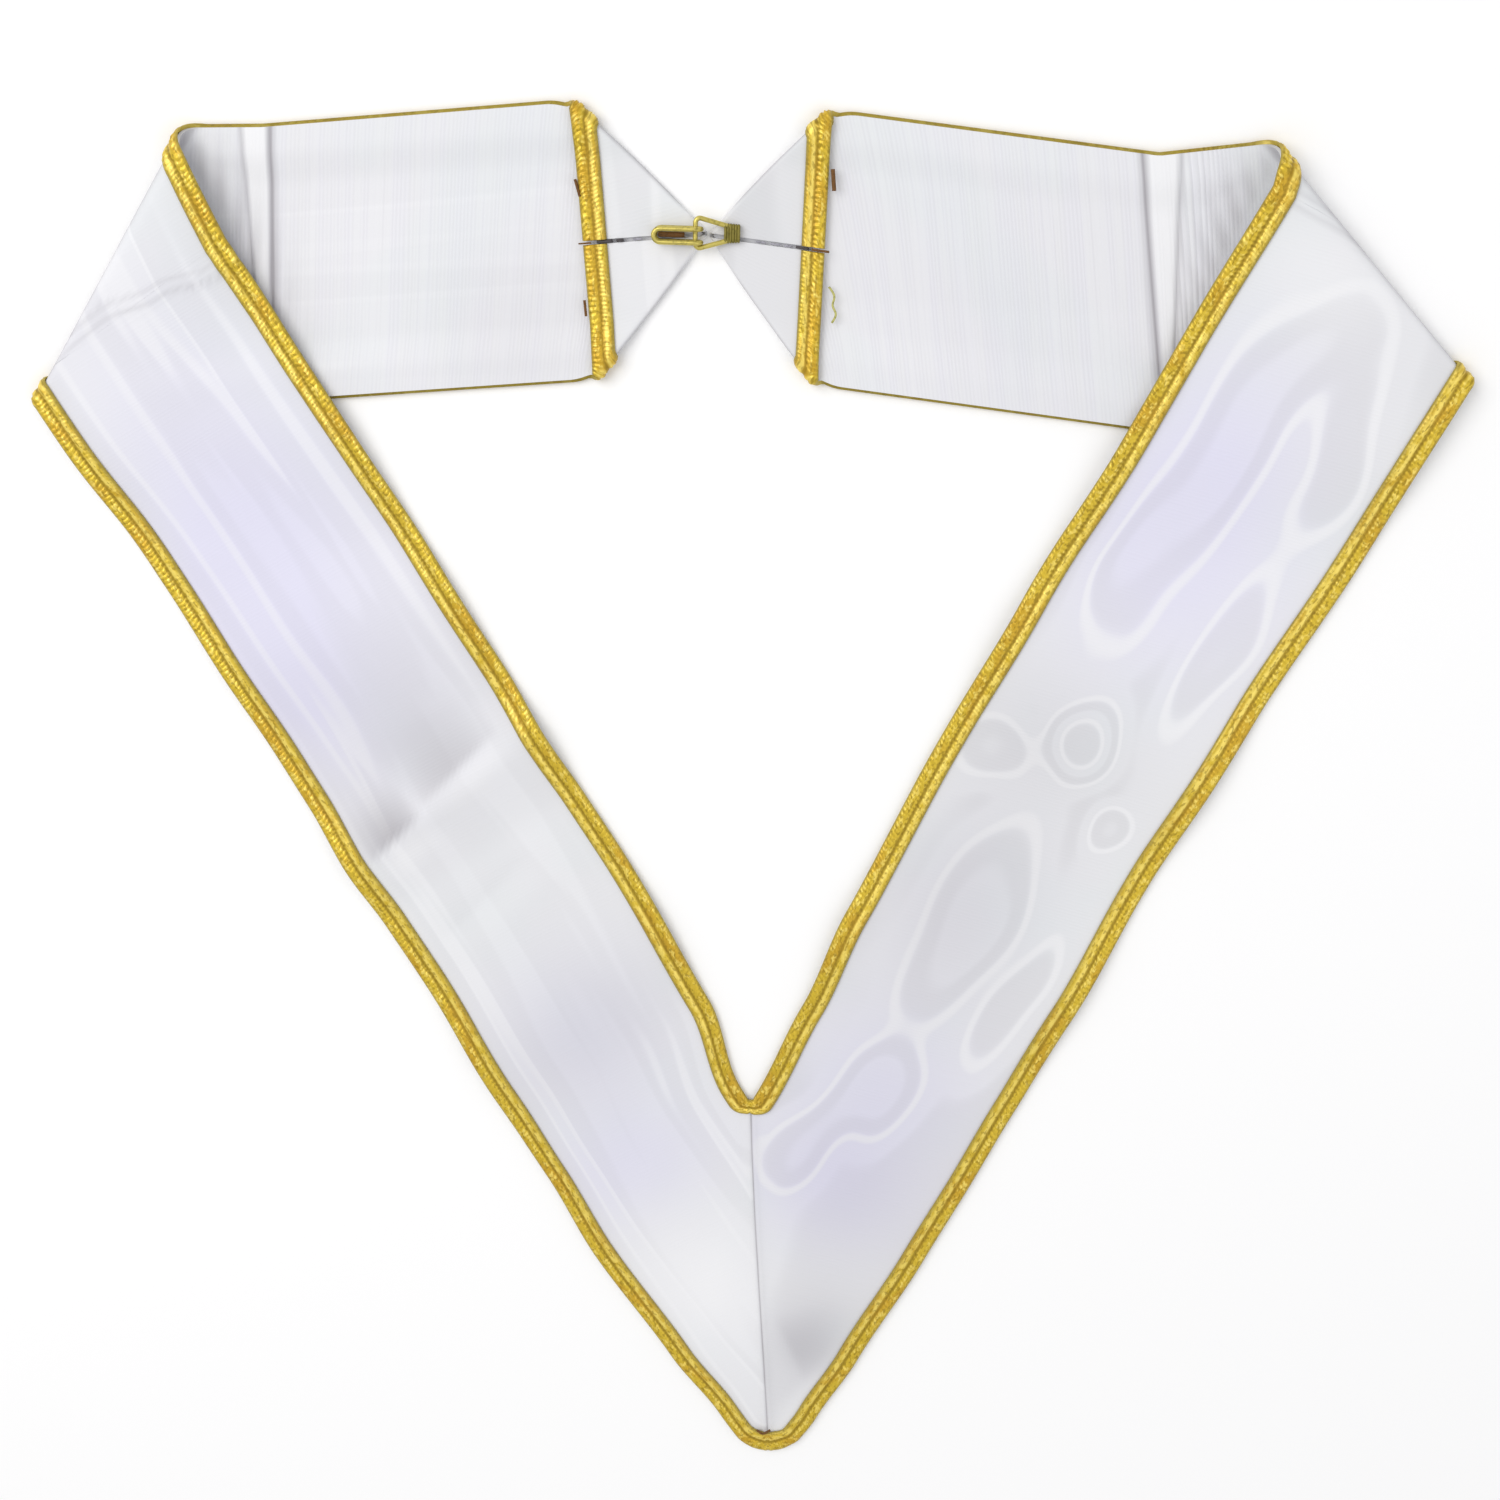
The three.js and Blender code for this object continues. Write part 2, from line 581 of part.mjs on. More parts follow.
const frames = Object.keys(sides).map(sideFrame);
for (const frame of frames) {
  add('front_ribbon_' + frame.name, frontRibbon(frame), silk());
  add('neck_ribbon_' + frame.name, neckRibbon(frame), silk());
}
add('outer_braid', edgeBraid(frames, false), gold());
add('inner_braid', edgeBraid(frames, true), gold());

// The clasp lies along the middle of both points, its bar over the left one
const ends = frames.map((frame) => {
  const tip = frame.tuckCentre.clone().addScaledVector(frame.neck, frame.tip)
    .addScaledVector(frame.neckAcross, frame.neckMiddle);
  return { x: tip.x * frame.sign, y: tip.y, lean: Math.atan2(frame.neck.y, -frame.neck.x) };
});
const clasp = new THREE.Group();
const barOffset = eyeLength / 2 - wireRadius - hookWidth / 2;
clasp.position.set((ends[0].x + ends[1].x) / 2 - barOffset, (ends[0].y + ends[1].y) / 2, 0);
clasp.rotation.z = (ends[0].lean - ends[1].lean) / 2;
collar.add(clasp);
clasp.add(add('clasp_hook', hookGeometry(), brass()));
clasp.add(add('clasp_eye', eyeGeometry(), brass()));

// The origin is on the table, under the middle of the collar
const reach = new THREE.Box3().setFromObject(collar);
const middle = reach.getCenter(new THREE.Vector3());
collar.position.set(-middle.x, -middle.y, -reach.min.z);
collar.updateMatrixWorld(true);

export default collar;
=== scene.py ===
import math

import bmesh
import bpy
import numpy as np
from mathutils import Matrix, Vector


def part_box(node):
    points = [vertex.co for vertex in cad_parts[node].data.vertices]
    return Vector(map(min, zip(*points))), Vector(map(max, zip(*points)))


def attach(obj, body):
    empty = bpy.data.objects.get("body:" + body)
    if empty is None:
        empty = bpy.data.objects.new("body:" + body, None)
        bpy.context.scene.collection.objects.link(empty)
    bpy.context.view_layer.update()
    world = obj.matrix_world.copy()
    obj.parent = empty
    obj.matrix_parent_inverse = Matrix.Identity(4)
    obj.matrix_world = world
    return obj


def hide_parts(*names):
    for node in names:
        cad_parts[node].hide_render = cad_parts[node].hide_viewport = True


# A white watered-silk collar with gold braid, laid flat. Lengths in the dictionaries are millimetres;
# "along" runs up each front from the point of the V, "q" inward across the ribbon from its outer edge.

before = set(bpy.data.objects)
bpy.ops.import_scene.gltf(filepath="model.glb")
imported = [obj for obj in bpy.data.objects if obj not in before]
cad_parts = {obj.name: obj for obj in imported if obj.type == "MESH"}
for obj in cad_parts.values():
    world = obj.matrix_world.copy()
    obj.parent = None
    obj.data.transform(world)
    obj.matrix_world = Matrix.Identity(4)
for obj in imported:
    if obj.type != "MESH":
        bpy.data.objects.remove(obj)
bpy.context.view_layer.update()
print("frame loaded,", len(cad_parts), "nodes")

mm = 0.001

ribbon = {
    "width": 101.0, "front": 586.0, "vHalfAngle": 28.15, "wall": 1.2, "seamGap": 0.3, "layerGap": 0.3,
    "tipRadius": 16.0, "tipEase": 0.8, "notchRadius": 1.2, "notchFade": 22.0, "pointReach": 30.0,
    "shoulderGap": 0.01, "wallClear": 0.15,
}
braid = {"width": 9.2, "height": 1.8, "overhang": 1.2}
fold = {"outerGap": 2.2, "innerGap": 8.8, "sink": 55.0, "sag": 14.0, "reach": 30.0}
neckEnd = {"hemGap": 0.7, "slit": 0.01, "tipGap": 1.6, "closing": -0.084, "tuckHeight": 1.0,
           "tuckEase": 0.8, "skewReach": 40.0, "radius": 20.0, "reach": 26.0, "halfTurn": 22.5}
sides = {
    "left": {"sign": -1, "seam": 0.9864, "seamTurn": 8.0, "seamSkew": 8.4, "fold": 0.159,
             "foldAngle": 55.5, "tuck": 0.641, "tuckTurn": 3.9, "tuckWide": 0.10,
             "tuckNarrow": 0.03, "tuckLean": 0.115, "tuckMoved": -3.2, "ribLean": 0.0,
             "pointDraw": 0.09, "endSkew": 0.015, "rib": 0.07, "streak": 0.12, "flap": 0.02},
    "right": {"sign": 1, "seam": 1.0127, "seamTurn": 16.0, "seamSkew": 9.6, "fold": -0.087,
              "foldAngle": 53.5, "tuck": 0.817, "tuckTurn": 13.4, "tuckWide": 0.13,
              "tuckNarrow": 0.02, "tuckLean": 0.15, "tuckMoved": -1.8, "ribLean": 0.22,
              "pointDraw": 0.13, "endSkew": 0.08, "rib": 0.09, "streak": 0.14, "flap": 0.13},
}
# how far each edge strays from its straight line, away from the ribbon's middle: share of the front,
# then shares of the width
edgeSway = {
    "at": [0.00, 0.05, 0.09, 0.15, 0.25, 0.32, 0.39, 0.47, 0.60, 0.72, 0.84, 0.93],
    "leftOuter": [-0.058, -0.055, -0.046, -0.012, 0.014, -0.010, -0.010, -0.022, -0.008, -0.018, -0.017,
                  0.000],
    "leftInner": [-0.018, -0.021, -0.022, -0.025, -0.030, -0.053, 0.024, 0.040, 0.021, 0.017, 0.009, 0.000],
    "rightOuter": [-0.058, -0.055, -0.031, -0.005, 0.022, 0.027, 0.021, 0.011, -0.020, -0.009, 0.014, 0.000],
    "rightInner": [-0.018, -0.021, -0.022, -0.025, -0.030, -0.053, -0.031, 0.014, 0.034, 0.027, 0.002,
                   0.000],
}
# how far the seam of the V lies aside, by the height up from the point: shares of the width
seamBend = {"up": [0.0, 1.88, 3.37], "aside": [0.018, -0.020, 0.0]}
# soft rises where a front stands off the table: shares of the front, rise a share of the width
rises = {
    "left": [
        {"at": 0.44, "spread": 0.070, "slant": 0.03, "rise": 0.022},
        {"at": 0.605, "spread": 0.050, "slant": 0.02, "rise": 0.036},
        {"at": 0.74, "spread": 0.065, "slant": -0.03, "rise": 0.020},
    ],
    "right": [
        {"at": 0.47, "spread": 0.080, "slant": -0.04, "rise": 0.024},
        {"at": 0.68, "spread": 0.075, "slant": 0.04, "rise": 0.030},
    ],
}
# soft creases in the cloth, each along a line from one place (along, q) to another
creases = {
    "left": [
        {"start": (350, 14), "end": (363, 94), "width": 6, "height": 1.5},
        {"start": (302, 22), "end": (322, 64), "width": 8, "height": 0.5},
        {"start": (560, 20), "end": (530, 88), "width": 8, "height": 0.7},
        {"start": (596, 70), "end": (560, 92), "width": 5, "height": 0.8},
        {"start": (78, 14), "end": (128, 60), "width": 8, "height": 0.5},
        {"start": (150, 30), "end": (215, 84), "width": 9, "height": 0.5},
    ],
    "right": [
        {"start": (70, 12), "end": (150, 70), "width": 9, "height": 0.6},
        {"start": (430, 26), "end": (470, 84), "width": 9, "height": 0.5},
        {"start": (600, 30), "end": (575, 90), "width": 6, "height": 0.8},
        {"start": (620, 60), "end": (594, 95), "width": 5, "height": 0.7},
    ],
}
# how a crease fades at its two ends
creaseEnds = {"clear": 0.08, "softness": 0.7}
# how far the left shoulder's seam is drawn up the front, by the place across the ribbon
seamDrawn = {"q": [0, 29, 42, 67, 91, 101], "up": [0.0, 4.0, 4.5, -0.6, -6.8, -8.0]}
# the lips beside a seam, the puckers of the V's seam, and the fine ribs the tuck pulls into the band
seamLip = {"away": 2.6, "width": 1.9, "vHeight": 0.35, "shoulderHeight": 0.9, "shoulderAway": 0.4,
           "shoulderWidth": 2.1}
pucker = {"pitch": 8.5, "fan": 0.02, "height": 0.3, "reach": 9.0, "clear": 6.0}
pulledRibs = {"side": "right", "pitch": 1.9, "height": 0.34, "reach": 27.0, "clear": 2.0,
              "alongWave": 0.35, "alongPitch": 3.1, "acrossWave": 0.25, "acrossPitch": 23.0, "mixPitch": 5.0}

clothRest = ribbon["wall"] / 2
bandRaise = braid["height"] + ribbon["layerGap"]
overBand = clothRest + bandRaise + ribbon["wall"] + neckEnd["tuckHeight"] + ribbon["layerGap"]
hemRadius = (ribbon["wall"] + neckEnd["hemGap"]) / 2
half = ribbon["width"] / 2


def turned(v, degrees):
    c, s = math.cos(math.radians(degrees)), math.sin(math.radians(degrees))
    return np.array([c * v[0] - s * v[1], s * v[0] + c * v[1]])


def smooth(x):
    x = np.clip(x, 0, 1)
    return x * x * (3 - 2 * x)


def mix(a, b, part):
    return a + (b - a) * part


def dot(places, v):
    return places[..., 0] * v[0] + places[..., 1] * v[1]


def foldRadius(q):
    outer = (ribbon["wall"] + fold["outerGap"]) / 2
    inner = (ribbon["wall"] + fold["innerGap"]) / 2
    return mix(outer, inner, smooth(q / ribbon["width"]))


def sideFrame(name):
    # directions of one side, worked out on the right; the left is its mirror image
    side, width = dict(sides[name]), ribbon["width"]
    side["name"] = name
    side["front"] = turned(np.array([0.0, 1.0]), -ribbon["vHalfAngle"])
    side["inward"] = turned(side["front"], 90)
    side["seam"] = side["seam"] * ribbon["front"]
    side["beyond"] = turned(side["front"], side["seamTurn"])
    across = turned(side["inward"], side["seamTurn"])
    seamCentre = side["front"] * side["seam"] + side["inward"] * half
    side["foldCentre"] = seamCentre + side["beyond"] * side["fold"] * width
    side["foldLine"] = turned(side["beyond"], side["foldAngle"])
    side["foldOut"] = turned(side["foldLine"], -90)

    def mirrored(v):
        return side["foldLine"] * (v @ side["foldLine"]) - side["foldOut"] * (v @ side["foldOut"])

    side["band"] = mirrored(side["beyond"])
    side["bandAcross"] = mirrored(across)
    side["neck"] = turned(side["band"], -side["tuckTurn"])
    side["neckAcross"] = turned(side["bandAcross"], -side["tuckTurn"])
    side["seamSlope"] = math.tan(math.radians(side["seamTurn"] / 2 - side["seamSkew"]))
    side["tuckSlope"] = math.tan(math.radians(side["tuckTurn"] / 2))
    side["tuckAt"] = side["tuck"] * width
    side["overlap"] = width * math.sin(math.radians(side["foldAngle"]))
    side["tuckCentre"] = side["foldCentre"] + side["band"] * side["tuckAt"]
    lower, upper = bandPlace(side, np.array([0.0, width]))[0]
    side["neckMiddle"], side["neckHalf"] = (lower + upper) / 2, (upper - lower) / 2
    start = side["tuckCentre"][0] + side["neckAcross"][0] * side["neckMiddle"]
    end = neckEnd["closing"] * width * side["sign"] + neckEnd["tipGap"] / 2
    side["tip"] = (end - start) / side["neck"][0]
    side["base"] = side["tip"] - side["neckHalf"] * (1 - side["pointDraw"])
    return side


def seamAlong(side, q):
    return side["seam"] - (q - half) * side["seamSlope"]


def seamShown(side, q):
    # the shoulder's seam where it shows, drawn out of its straight line on the left
    if side["sign"] > 0:
        return seamAlong(side, q)
    return seamAlong(side, q) + inTable(seamDrawn["q"], seamDrawn["up"], q)


def tuckShown(side, tuck, across):
    # the tuck's line as it is pressed, moved and leaning from the square one
    return tuck + side["tuckMoved"] + side["tuckLean"] * (across - side["neckMiddle"])


def inTable(places, values, place):
    # the smoothed value of a table's column at a place
    places, values = np.array(places), np.array(values)
    place = np.clip(place, places[0], places[-1])
    row = np.clip(np.searchsorted(places, place, side="left"), 1, len(places) - 1)
    part = smooth((place - places[row - 1]) / (places[row] - places[row - 1]))
    return mix(values[row - 1], values[row], part)


def swayOf(side, along, q):
    share = along / ribbon["front"]
    outer = inTable(edgeSway["at"], edgeSway[side["name"] + "Outer"], share) * ribbon["width"]
    inner = inTable(edgeSway["at"], edgeSway[side["name"] + "Inner"], share) * ribbon["width"]
    return mix(-outer, inner, q / ribbon["width"])


def unfolded(side, along, q):
    upTo = np.minimum(along, seamAlong(side, q))
    stray = q + swayOf(side, along, q)
    return (upTo[..., None] * side["front"] + stray[..., None] * side["inward"]
            + (along - upTo)[..., None] * side["beyond"])


def alongAtFold(side, q, distance):
    seam = seamAlong(side, q)
    atSeam = dot(unfolded(side, seam, q) - side["foldCentre"], side["foldOut"])
    slope = np.where(distance < atSeam, side["front"] @ side["foldOut"], side["beyond"] @ side["foldOut"])
    return seam + (distance - atSeam) / slope


def bandPlace(side, q):
    # where a line of the ribbon lies across the turned band, and the length at which it meets the tuck
    seam = seamAlong(side, q)
    offset = unfolded(side, seam, q) - side["foldCentre"]
    out = -dot(offset, side["foldOut"]) + (math.pi - 2) * foldRadius(q)
    plan = dot(offset, side["foldLine"])[..., None] * side["foldLine"] + out[..., None] * side["foldOut"]
    across = dot(plan, side["bandAcross"])
    return across, seam + side["tuckAt"] - across * side["tuckSlope"] - dot(plan, side["band"])


def turnOver(distance, radius, lift):
    angle = np.clip((distance + radius) / radius, 0, math.pi) - math.pi / 2
    out = -radius + (radius + lift) * np.cos(angle)
    out = np.where(distance < -radius, distance, out)
    return np.where(distance > (math.pi - 1) * radius, (math.pi - 2) * radius - distance, out), angle


def bandHeight(q, fromFold):
    edge = np.minimum(q, ribbon["width"] - q)
    onBraid = 1 - smooth((edge - braid["width"]) / fold["sag"])
    byFold = smooth(1 - fromFold / fold["reach"])
    return clothRest + bandRaise * np.maximum(onBraid, byFold)


def onLine(row, along, q):
    # the share of the way along a row's line, the offset from its start and the line itself
    start = np.array(row["start"], float)
    run = np.array(row["end"], float) - start
    offset = np.stack([along, q], -1) - start
    return np.clip(dot(offset, run) / (run @ run), 0, 1), offset, run


def bell(distance, width):
    return np.exp(-(distance / width) ** 2)


def seamDistances(side, along, q):
    # how far each place lies from the seam of the V and from the shoulder's seam
    return along - startAlong(side, q, 0.0), np.abs(along - seamShown(side, q))


def reliefOf(side, along, q):
    # small rises of the cloth: broad waves, the creases of the table, then the seams
    height = np.zeros_like(along)
    for row in rises[side["name"]]:
        centre = (row["at"] + row["slant"] * (q / ribbon["width"] - 0.5)) * ribbon["front"]
        away = np.abs(along - centre) / (row["spread"] * ribbon["front"])
        height = height + row["rise"] * ribbon["width"] * smooth(1 - away)
    for row in creases[side["name"]]:
        part, offset, run = onLine(row, along, q)
        away = np.linalg.norm(offset - part[..., None] * run, axis=-1)
        ends = np.sin(math.pi * np.clip(part, creaseEnds["clear"], 1 - creaseEnds["clear"]))
        height = height + row["height"] * ends ** creaseEnds["softness"] * bell(away, row["width"])
    fromV, fromSeam = seamDistances(side, along, q)
    flank = (fromSeam - seamLip["shoulderAway"]) / seamLip["shoulderWidth"]
    height = height + seamLip["vHeight"] * bell(fromV - seamLip["away"], seamLip["width"]) \
        + seamLip["shoulderHeight"] * bell(np.maximum(flank, 0), 1)
    wave = 0.5 + 0.5 * np.sin(2 * math.pi * q / pucker["pitch"] + pucker["fan"] * q * q * side["sign"])
    inside = smooth((np.minimum(q, ribbon["width"] - q) - braid["width"]) / pucker["clear"])
    near = smooth(1 - fromV / pucker["reach"]) * smooth(fromV / seamLip["away"])
    return height + pucker["height"] * wave * inside * near


def pulledHeight(side, along, tuck, across, q):
    # fine ribs across the band, beside the tuck that pulls them
    if side["name"] != pulledRibs["side"]:
        return np.zeros_like(along)
    away = tuckShown(side, tuck, across) - tuckWidth(side, q) - along
    along = along + side["ribLean"] * (q - half)
    share = smooth(away / pulledRibs["clear"]) * smooth(2 - 2 * away / pulledRibs["reach"])
    phase = along / pulledRibs["pitch"] \
        + pulledRibs["alongWave"] * np.sin(along / pulledRibs["alongPitch"]) \
        + pulledRibs["acrossWave"] * np.sin(q / pulledRibs["acrossPitch"] + along / pulledRibs["mixPitch"])
    return pulledRibs["height"] * share * (0.5 + 0.5 * np.cos(2 * math.pi * phase))


def roundedCorner(side, plan, q):
    # both corners of the V are rounded, so that the braid keeps its width there
    inner = ribbon["width"] - q
    fade = smooth(1 - (inner - braid["width"]) / ribbon["notchFade"])
    notch = (ribbon["notchRadius"] + braid["width"]) * fade
    radius = np.maximum(ribbon["tipRadius"] - ribbon["tipEase"] * q, 0) \
        + np.minimum(ribbon["notchRadius"] + inner, notch)
    slope = side["front"][1] / side["front"][0]
    x = np.minimum(np.abs(plan[..., 0]), radius * side["front"][1])
    drop = radius / side["front"][0] - np.sqrt(radius * radius - x * x) - x * slope
    return np.stack([plan[..., 0], plan[..., 1] + drop], -1)


def layRibbon(side, along, q, lift):
    # carries places on the flat ribbon, lift above the middle of its cloth, to where they lie
    along, q, lift = (np.array(v, float) for v in np.broadcast_arrays(along, q, lift))
    plan = unfolded(side, along, q)
    offset = plan - side["foldCentre"]
    toFold, radius = dot(offset, side["foldOut"]), foldRadius(q)
    out, angle = turnOver(toFold, radius, lift)
    across, tuck = bandPlace(side, q)
    under, over = toFold > (math.pi - 1) * radius, toFold < -radius
    height = bandHeight(q, np.where(under, -out - radius, 0))
    inBand = dot(offset, side["bandAcross"]) + half
    rest = mix(clothRest, overBand, smooth(1 + inBand / fold["sink"])) + reliefOf(side, along, q)
    zOver = mix(rest, height + 2 * radius, smooth(1 + (toFold + radius) / fold["sink"])) + lift
    height = np.where(under, height + pulledHeight(side, along, tuck, across, q), height)
    zRoll = np.where(under, height - lift, height + radius - (radius + lift) * np.sin(angle))
    rolled = side["foldCentre"] + dot(offset, side["foldLine"])[..., None] * side["foldLine"] \
        + out[..., None] * side["foldOut"]
    place = np.where(over[..., None], roundedCorner(side, plan, q), rolled)
    z = np.where(over, zOver, zRoll)
    neckPlace, neckZ = layNeck(side, along - tuck, across, q, lift)
    onNeck = along > tuck
    place = np.where(onNeck[..., None], neckPlace, place)
    z = np.where(onNeck, neckZ, z)
    aside = inTable(seamBend["up"], seamBend["aside"], place[..., 1] / ribbon["width"]) * ribbon["width"]
    return np.stack([place[..., 0] * side["sign"] + aside, place[..., 1], z], -1)


def layNeck(side, run, across, q, lift):
    # the neck beyond the tuck, its corners folded over onto the centre line
    x = run + across * side["tuckSlope"]
    upper = np.where(across > side["neckMiddle"], 1, -1)
    inside = side["neckHalf"] - upper * (across - side["neckMiddle"])
    distance = (x - side["base"] - inside) / math.sqrt(2)
    z = bandHeight(q, fold["reach"]) - lift
    out, angle = turnOver(distance, hemRadius, lift)
    line = (x - side["base"] + inside) / math.sqrt(2)
    fromEdge = (line - out) / math.sqrt(2)
    hem = distance > -hemRadius
    x = np.where(hem, side["base"] + (line + out) / math.sqrt(2), x)
    y = np.where(hem, side["neckMiddle"] + upper * (side["neckHalf"] - fromEdge), across)
    folded = bandHeight(fromEdge, fold["reach"]) + hemRadius + (hemRadius + lift) * np.sin(angle)
    z = np.where(hem, folded, z)
    x, y = roundedEnd(side, x, y, upper)
    pastBase = np.maximum(x - side["base"], 0)
    drawn = side["pointDraw"] * pastBase * pastBase / side["neckHalf"]
    nearEnd = smooth(1 + (x - side["base"]) / neckEnd["skewReach"])
    skew = side["endSkew"] * (y - side["neckMiddle"]) * nearEnd
    place = (side["tuckCentre"] + (x - drawn + skew)[..., None] * side["neck"]
             + y[..., None] * side["neckAcross"])
    return place, z


def roundedEnd(side, x, y, upper):
    # the neck's corners are rounded where they are folded over
    out = turned(np.array([0.0, 1.0]), -neckEnd["halfTurn"])
    run, radius = turned(out, -90), neckEnd["radius"]
    place = np.stack([x - side["base"], upper * (y - side["neckMiddle"]) - side["neckHalf"]], -1)
    aside = np.minimum(np.abs(dot(place, run)), radius * out[0])
    edge = aside * out[0] / out[1]
    cutOff = radius / out[1] - np.sqrt(radius * radius - aside * aside) - edge
    drawn = cutOff * smooth(1 + (edge + dot(place, out)) / neckEnd["reach"])
    return x - drawn * out[0], y - drawn * out[1] * upper


def startAlong(side, q, gap):
    along = q * side["front"][1] / side["front"][0]
    for _ in range(4):
        along = ((q + swayOf(side, along, q)) * side["front"][1] + gap) / side["front"][0]
    return along


def tuckWidth(side, q):
    return mix(side["tuckNarrow"], side["tuckWide"], q / ribbon["width"]) * ribbon["width"]


def stepped(start, end, steps):
    return [mix(start, end, step / steps) for step in range(steps)]


clothSteps = {"point": 10, "front": 150, "sink": 64, "roll": 14, "band": 120, "tuckEase": 3, "tuck": 6,
              "neck": 60, "hem": 10, "flap": 18, "rows": 56}
# distances from a seam at which the rows of cloth follow it
besideSeam = [0.0, 0.4, 0.8, 1.3, 2.0, 2.9, 4.2]
seamReach = 6.0


def cutEnd(side, q):
    # length at which a line of the ribbon ends, cut on the neck's centre line
    across, tuck = bandPlace(side, q)
    return tuck - across * side["tuckSlope"] + side["base"] + side["neckHalf"] - neckEnd["slit"] / 2


def stationsFrom(side, q):
    # lengths for each line q, from the seam of the V to the cut end, in step with every fold
    steps = clothSteps
    radius = foldRadius(q)
    sinkStart = alongAtFold(side, q, -radius - side["overlap"]) - fold["sink"]
    rolled = alongAtFold(side, q, (math.pi - 1) * radius)
    across, tuck = bandPlace(side, q)
    tuckEnd, ease = tuckShown(side, tuck, across), neckEnd["tuckEase"]
    tuckStart = tuckEnd - tuckWidth(side, q)
    toBase = tuck - across * side["tuckSlope"] + side["base"]
    inside = side["neckHalf"] - np.abs(across - side["neckMiddle"])
    cut = cutEnd(side, q)
    hemStart = toBase + inside - hemRadius * math.sqrt(2)
    hemEnd = toBase + inside + (math.pi - 1) * hemRadius * math.sqrt(2)
    start = startAlong(side, q, ribbon["seamGap"] / 2)
    lines = [start + away for away in besideSeam]
    lines += stepped(start + seamReach, start + ribbon["pointReach"], steps["point"])
    lines += stepped(start + ribbon["pointReach"], sinkStart, steps["front"])
    lines += stepped(sinkStart, alongAtFold(side, q, -radius), steps["sink"])
    lines += [alongAtFold(side, q, (math.pi * part - 1) * radius) for part in stepped(0, 1, steps["roll"])]
    lines += stepped(rolled, tuckStart - ease, steps["band"])
    lines += stepped(tuckStart - ease, tuckStart, steps["tuckEase"])
    lines += stepped(tuckStart, tuckEnd, steps["tuck"])
    lines += stepped(tuckEnd, tuckEnd + 2 * ease, steps["tuck"])
    lines += stepped(tuckEnd + 2 * ease, hemStart, steps["neck"])
    lines += stepped(hemStart, hemEnd, steps["hem"])
    lines += stepped(hemEnd, np.maximum(hemEnd, cut), steps["flap"]) + [cut]
    return np.minimum(np.array(lines), cut)


frames = {name: sideFrame(name) for name in sides}

# where the pattern's origin lies in the frame: the far end of the left front's seam gives x, and the
# lowest of the outer braid's first corners, a quarter of pointReach apart, gives y
def seamFarX(side):
    qs = np.linspace(braid["overhang"], ribbon["width"] - braid["overhang"], 400)
    return layRibbon(side, startAlong(side, qs, ribbon["seamGap"] / 2), qs, 0.0)[:, 0].max()


def lowestY(side):
    edge = np.zeros(4)
    along = startAlong(side, edge, 0.0) + ribbon["pointReach"] * np.arange(4) / 4
    return layRibbon(side, along, edge, 0.0)[:, 1].min()


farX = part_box("front_ribbon_left")[1].x / mm
tipY = min(lowestY(side) for side in frames.values())
origin = np.array([farX - seamFarX(frames["left"]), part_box("outer_braid")[0].y / mm - tipY, 0.0])
print("origin of the flat pattern", origin.round(2))


def toFrame(points):
    return (points + origin) * mm


# shader groups and materials

def feed(tree, node, inputs):
    # each socket gets its value, or is wired to another node's output
    for name, value in inputs.items():
        if hasattr(value, "is_linked"):
            tree.links.new(value, node.inputs[name])
        else:
            node.inputs[name].default_value = value


def newNode(tree, kind, inputs=None, **settings):
    node = tree.nodes.new(kind)
    for name, value in settings.items():
        setattr(node, name, value)
    feed(tree, node, inputs or {})
    return node


def mathNode(tree, operation, *values):
    return newNode(tree, "ShaderNodeMath", dict(enumerate(values)), operation=operation).outputs[0]


def vectorNode(tree, operation, *values):
    return newNode(tree, "ShaderNodeVectorMath", dict(enumerate(values)), operation=operation).outputs[0]


def noiseNode(tree, vector, scale, detail):
    return newNode(tree, "ShaderNodeTexNoise", {"Vector": vector, "Scale": scale, "Detail": detail})


def mixColours(tree, factor, first, second):
    return newNode(tree, "ShaderNodeMix", {0: factor, 6: first, 7: second}, data_type="RGBA").outputs[2]


def ramp(tree, value, low, high, curve="SMOOTHSTEP"):
    # a smooth step from 0 at low to 1 at high
    inputs = {"Value": value, "From Min": low, "From Max": high}
    return newNode(tree, "ShaderNodeMapRange", inputs, interpolation_type=curve).outputs["Result"]


def bumpNode(tree, height, strength, distance):
    return newNode(tree, "ShaderNodeBump",
                   {"Height": height, "Strength": strength, "Distance": distance}).outputs[0]


def attributesOf(tree, names):
    return {name: newNode(tree, "ShaderNodeAttribute", attribute_name=name).outputs["Fac"] for name in names}


def newGroup(name, inputs, outputs):
    # a node group with named sockets: inputs with their first values, and outputs that are numbers
    tree = bpy.data.node_groups.new(name, "ShaderNodeTree")
    for label, value in inputs.items():
        kind = "NodeSocketVector" if isinstance(value, tuple) else "NodeSocketFloat"
        tree.interface.new_socket(name=label, in_out="INPUT", socket_type=kind).default_value = value
    for label in outputs:
        tree.interface.new_socket(name=label, in_out="OUTPUT", socket_type="NodeSocketFloat")
    return tree, newNode(tree, "NodeGroupInput").outputs, newNode(tree, "NodeGroupOutput")


def newMaterial(name):
    material = bpy.data.materials.new(name)
    material.use_nodes = True
    return material, material.node_tree, material.node_tree.nodes["Principled BSDF"]


# the slow noise of the watering, how far its fringe lags, and where on its waves the two show
wateredLine = {"noise": {"Scale": 1.0, "Detail": 1.6, "Roughness": 0.38, "Distortion": 0.5},
               "noiseShare": 0.6, "lag": 1.1, "line": (0.66, 1.04), "fringe": (0.1, -0.9)}
hillReach = 1.6
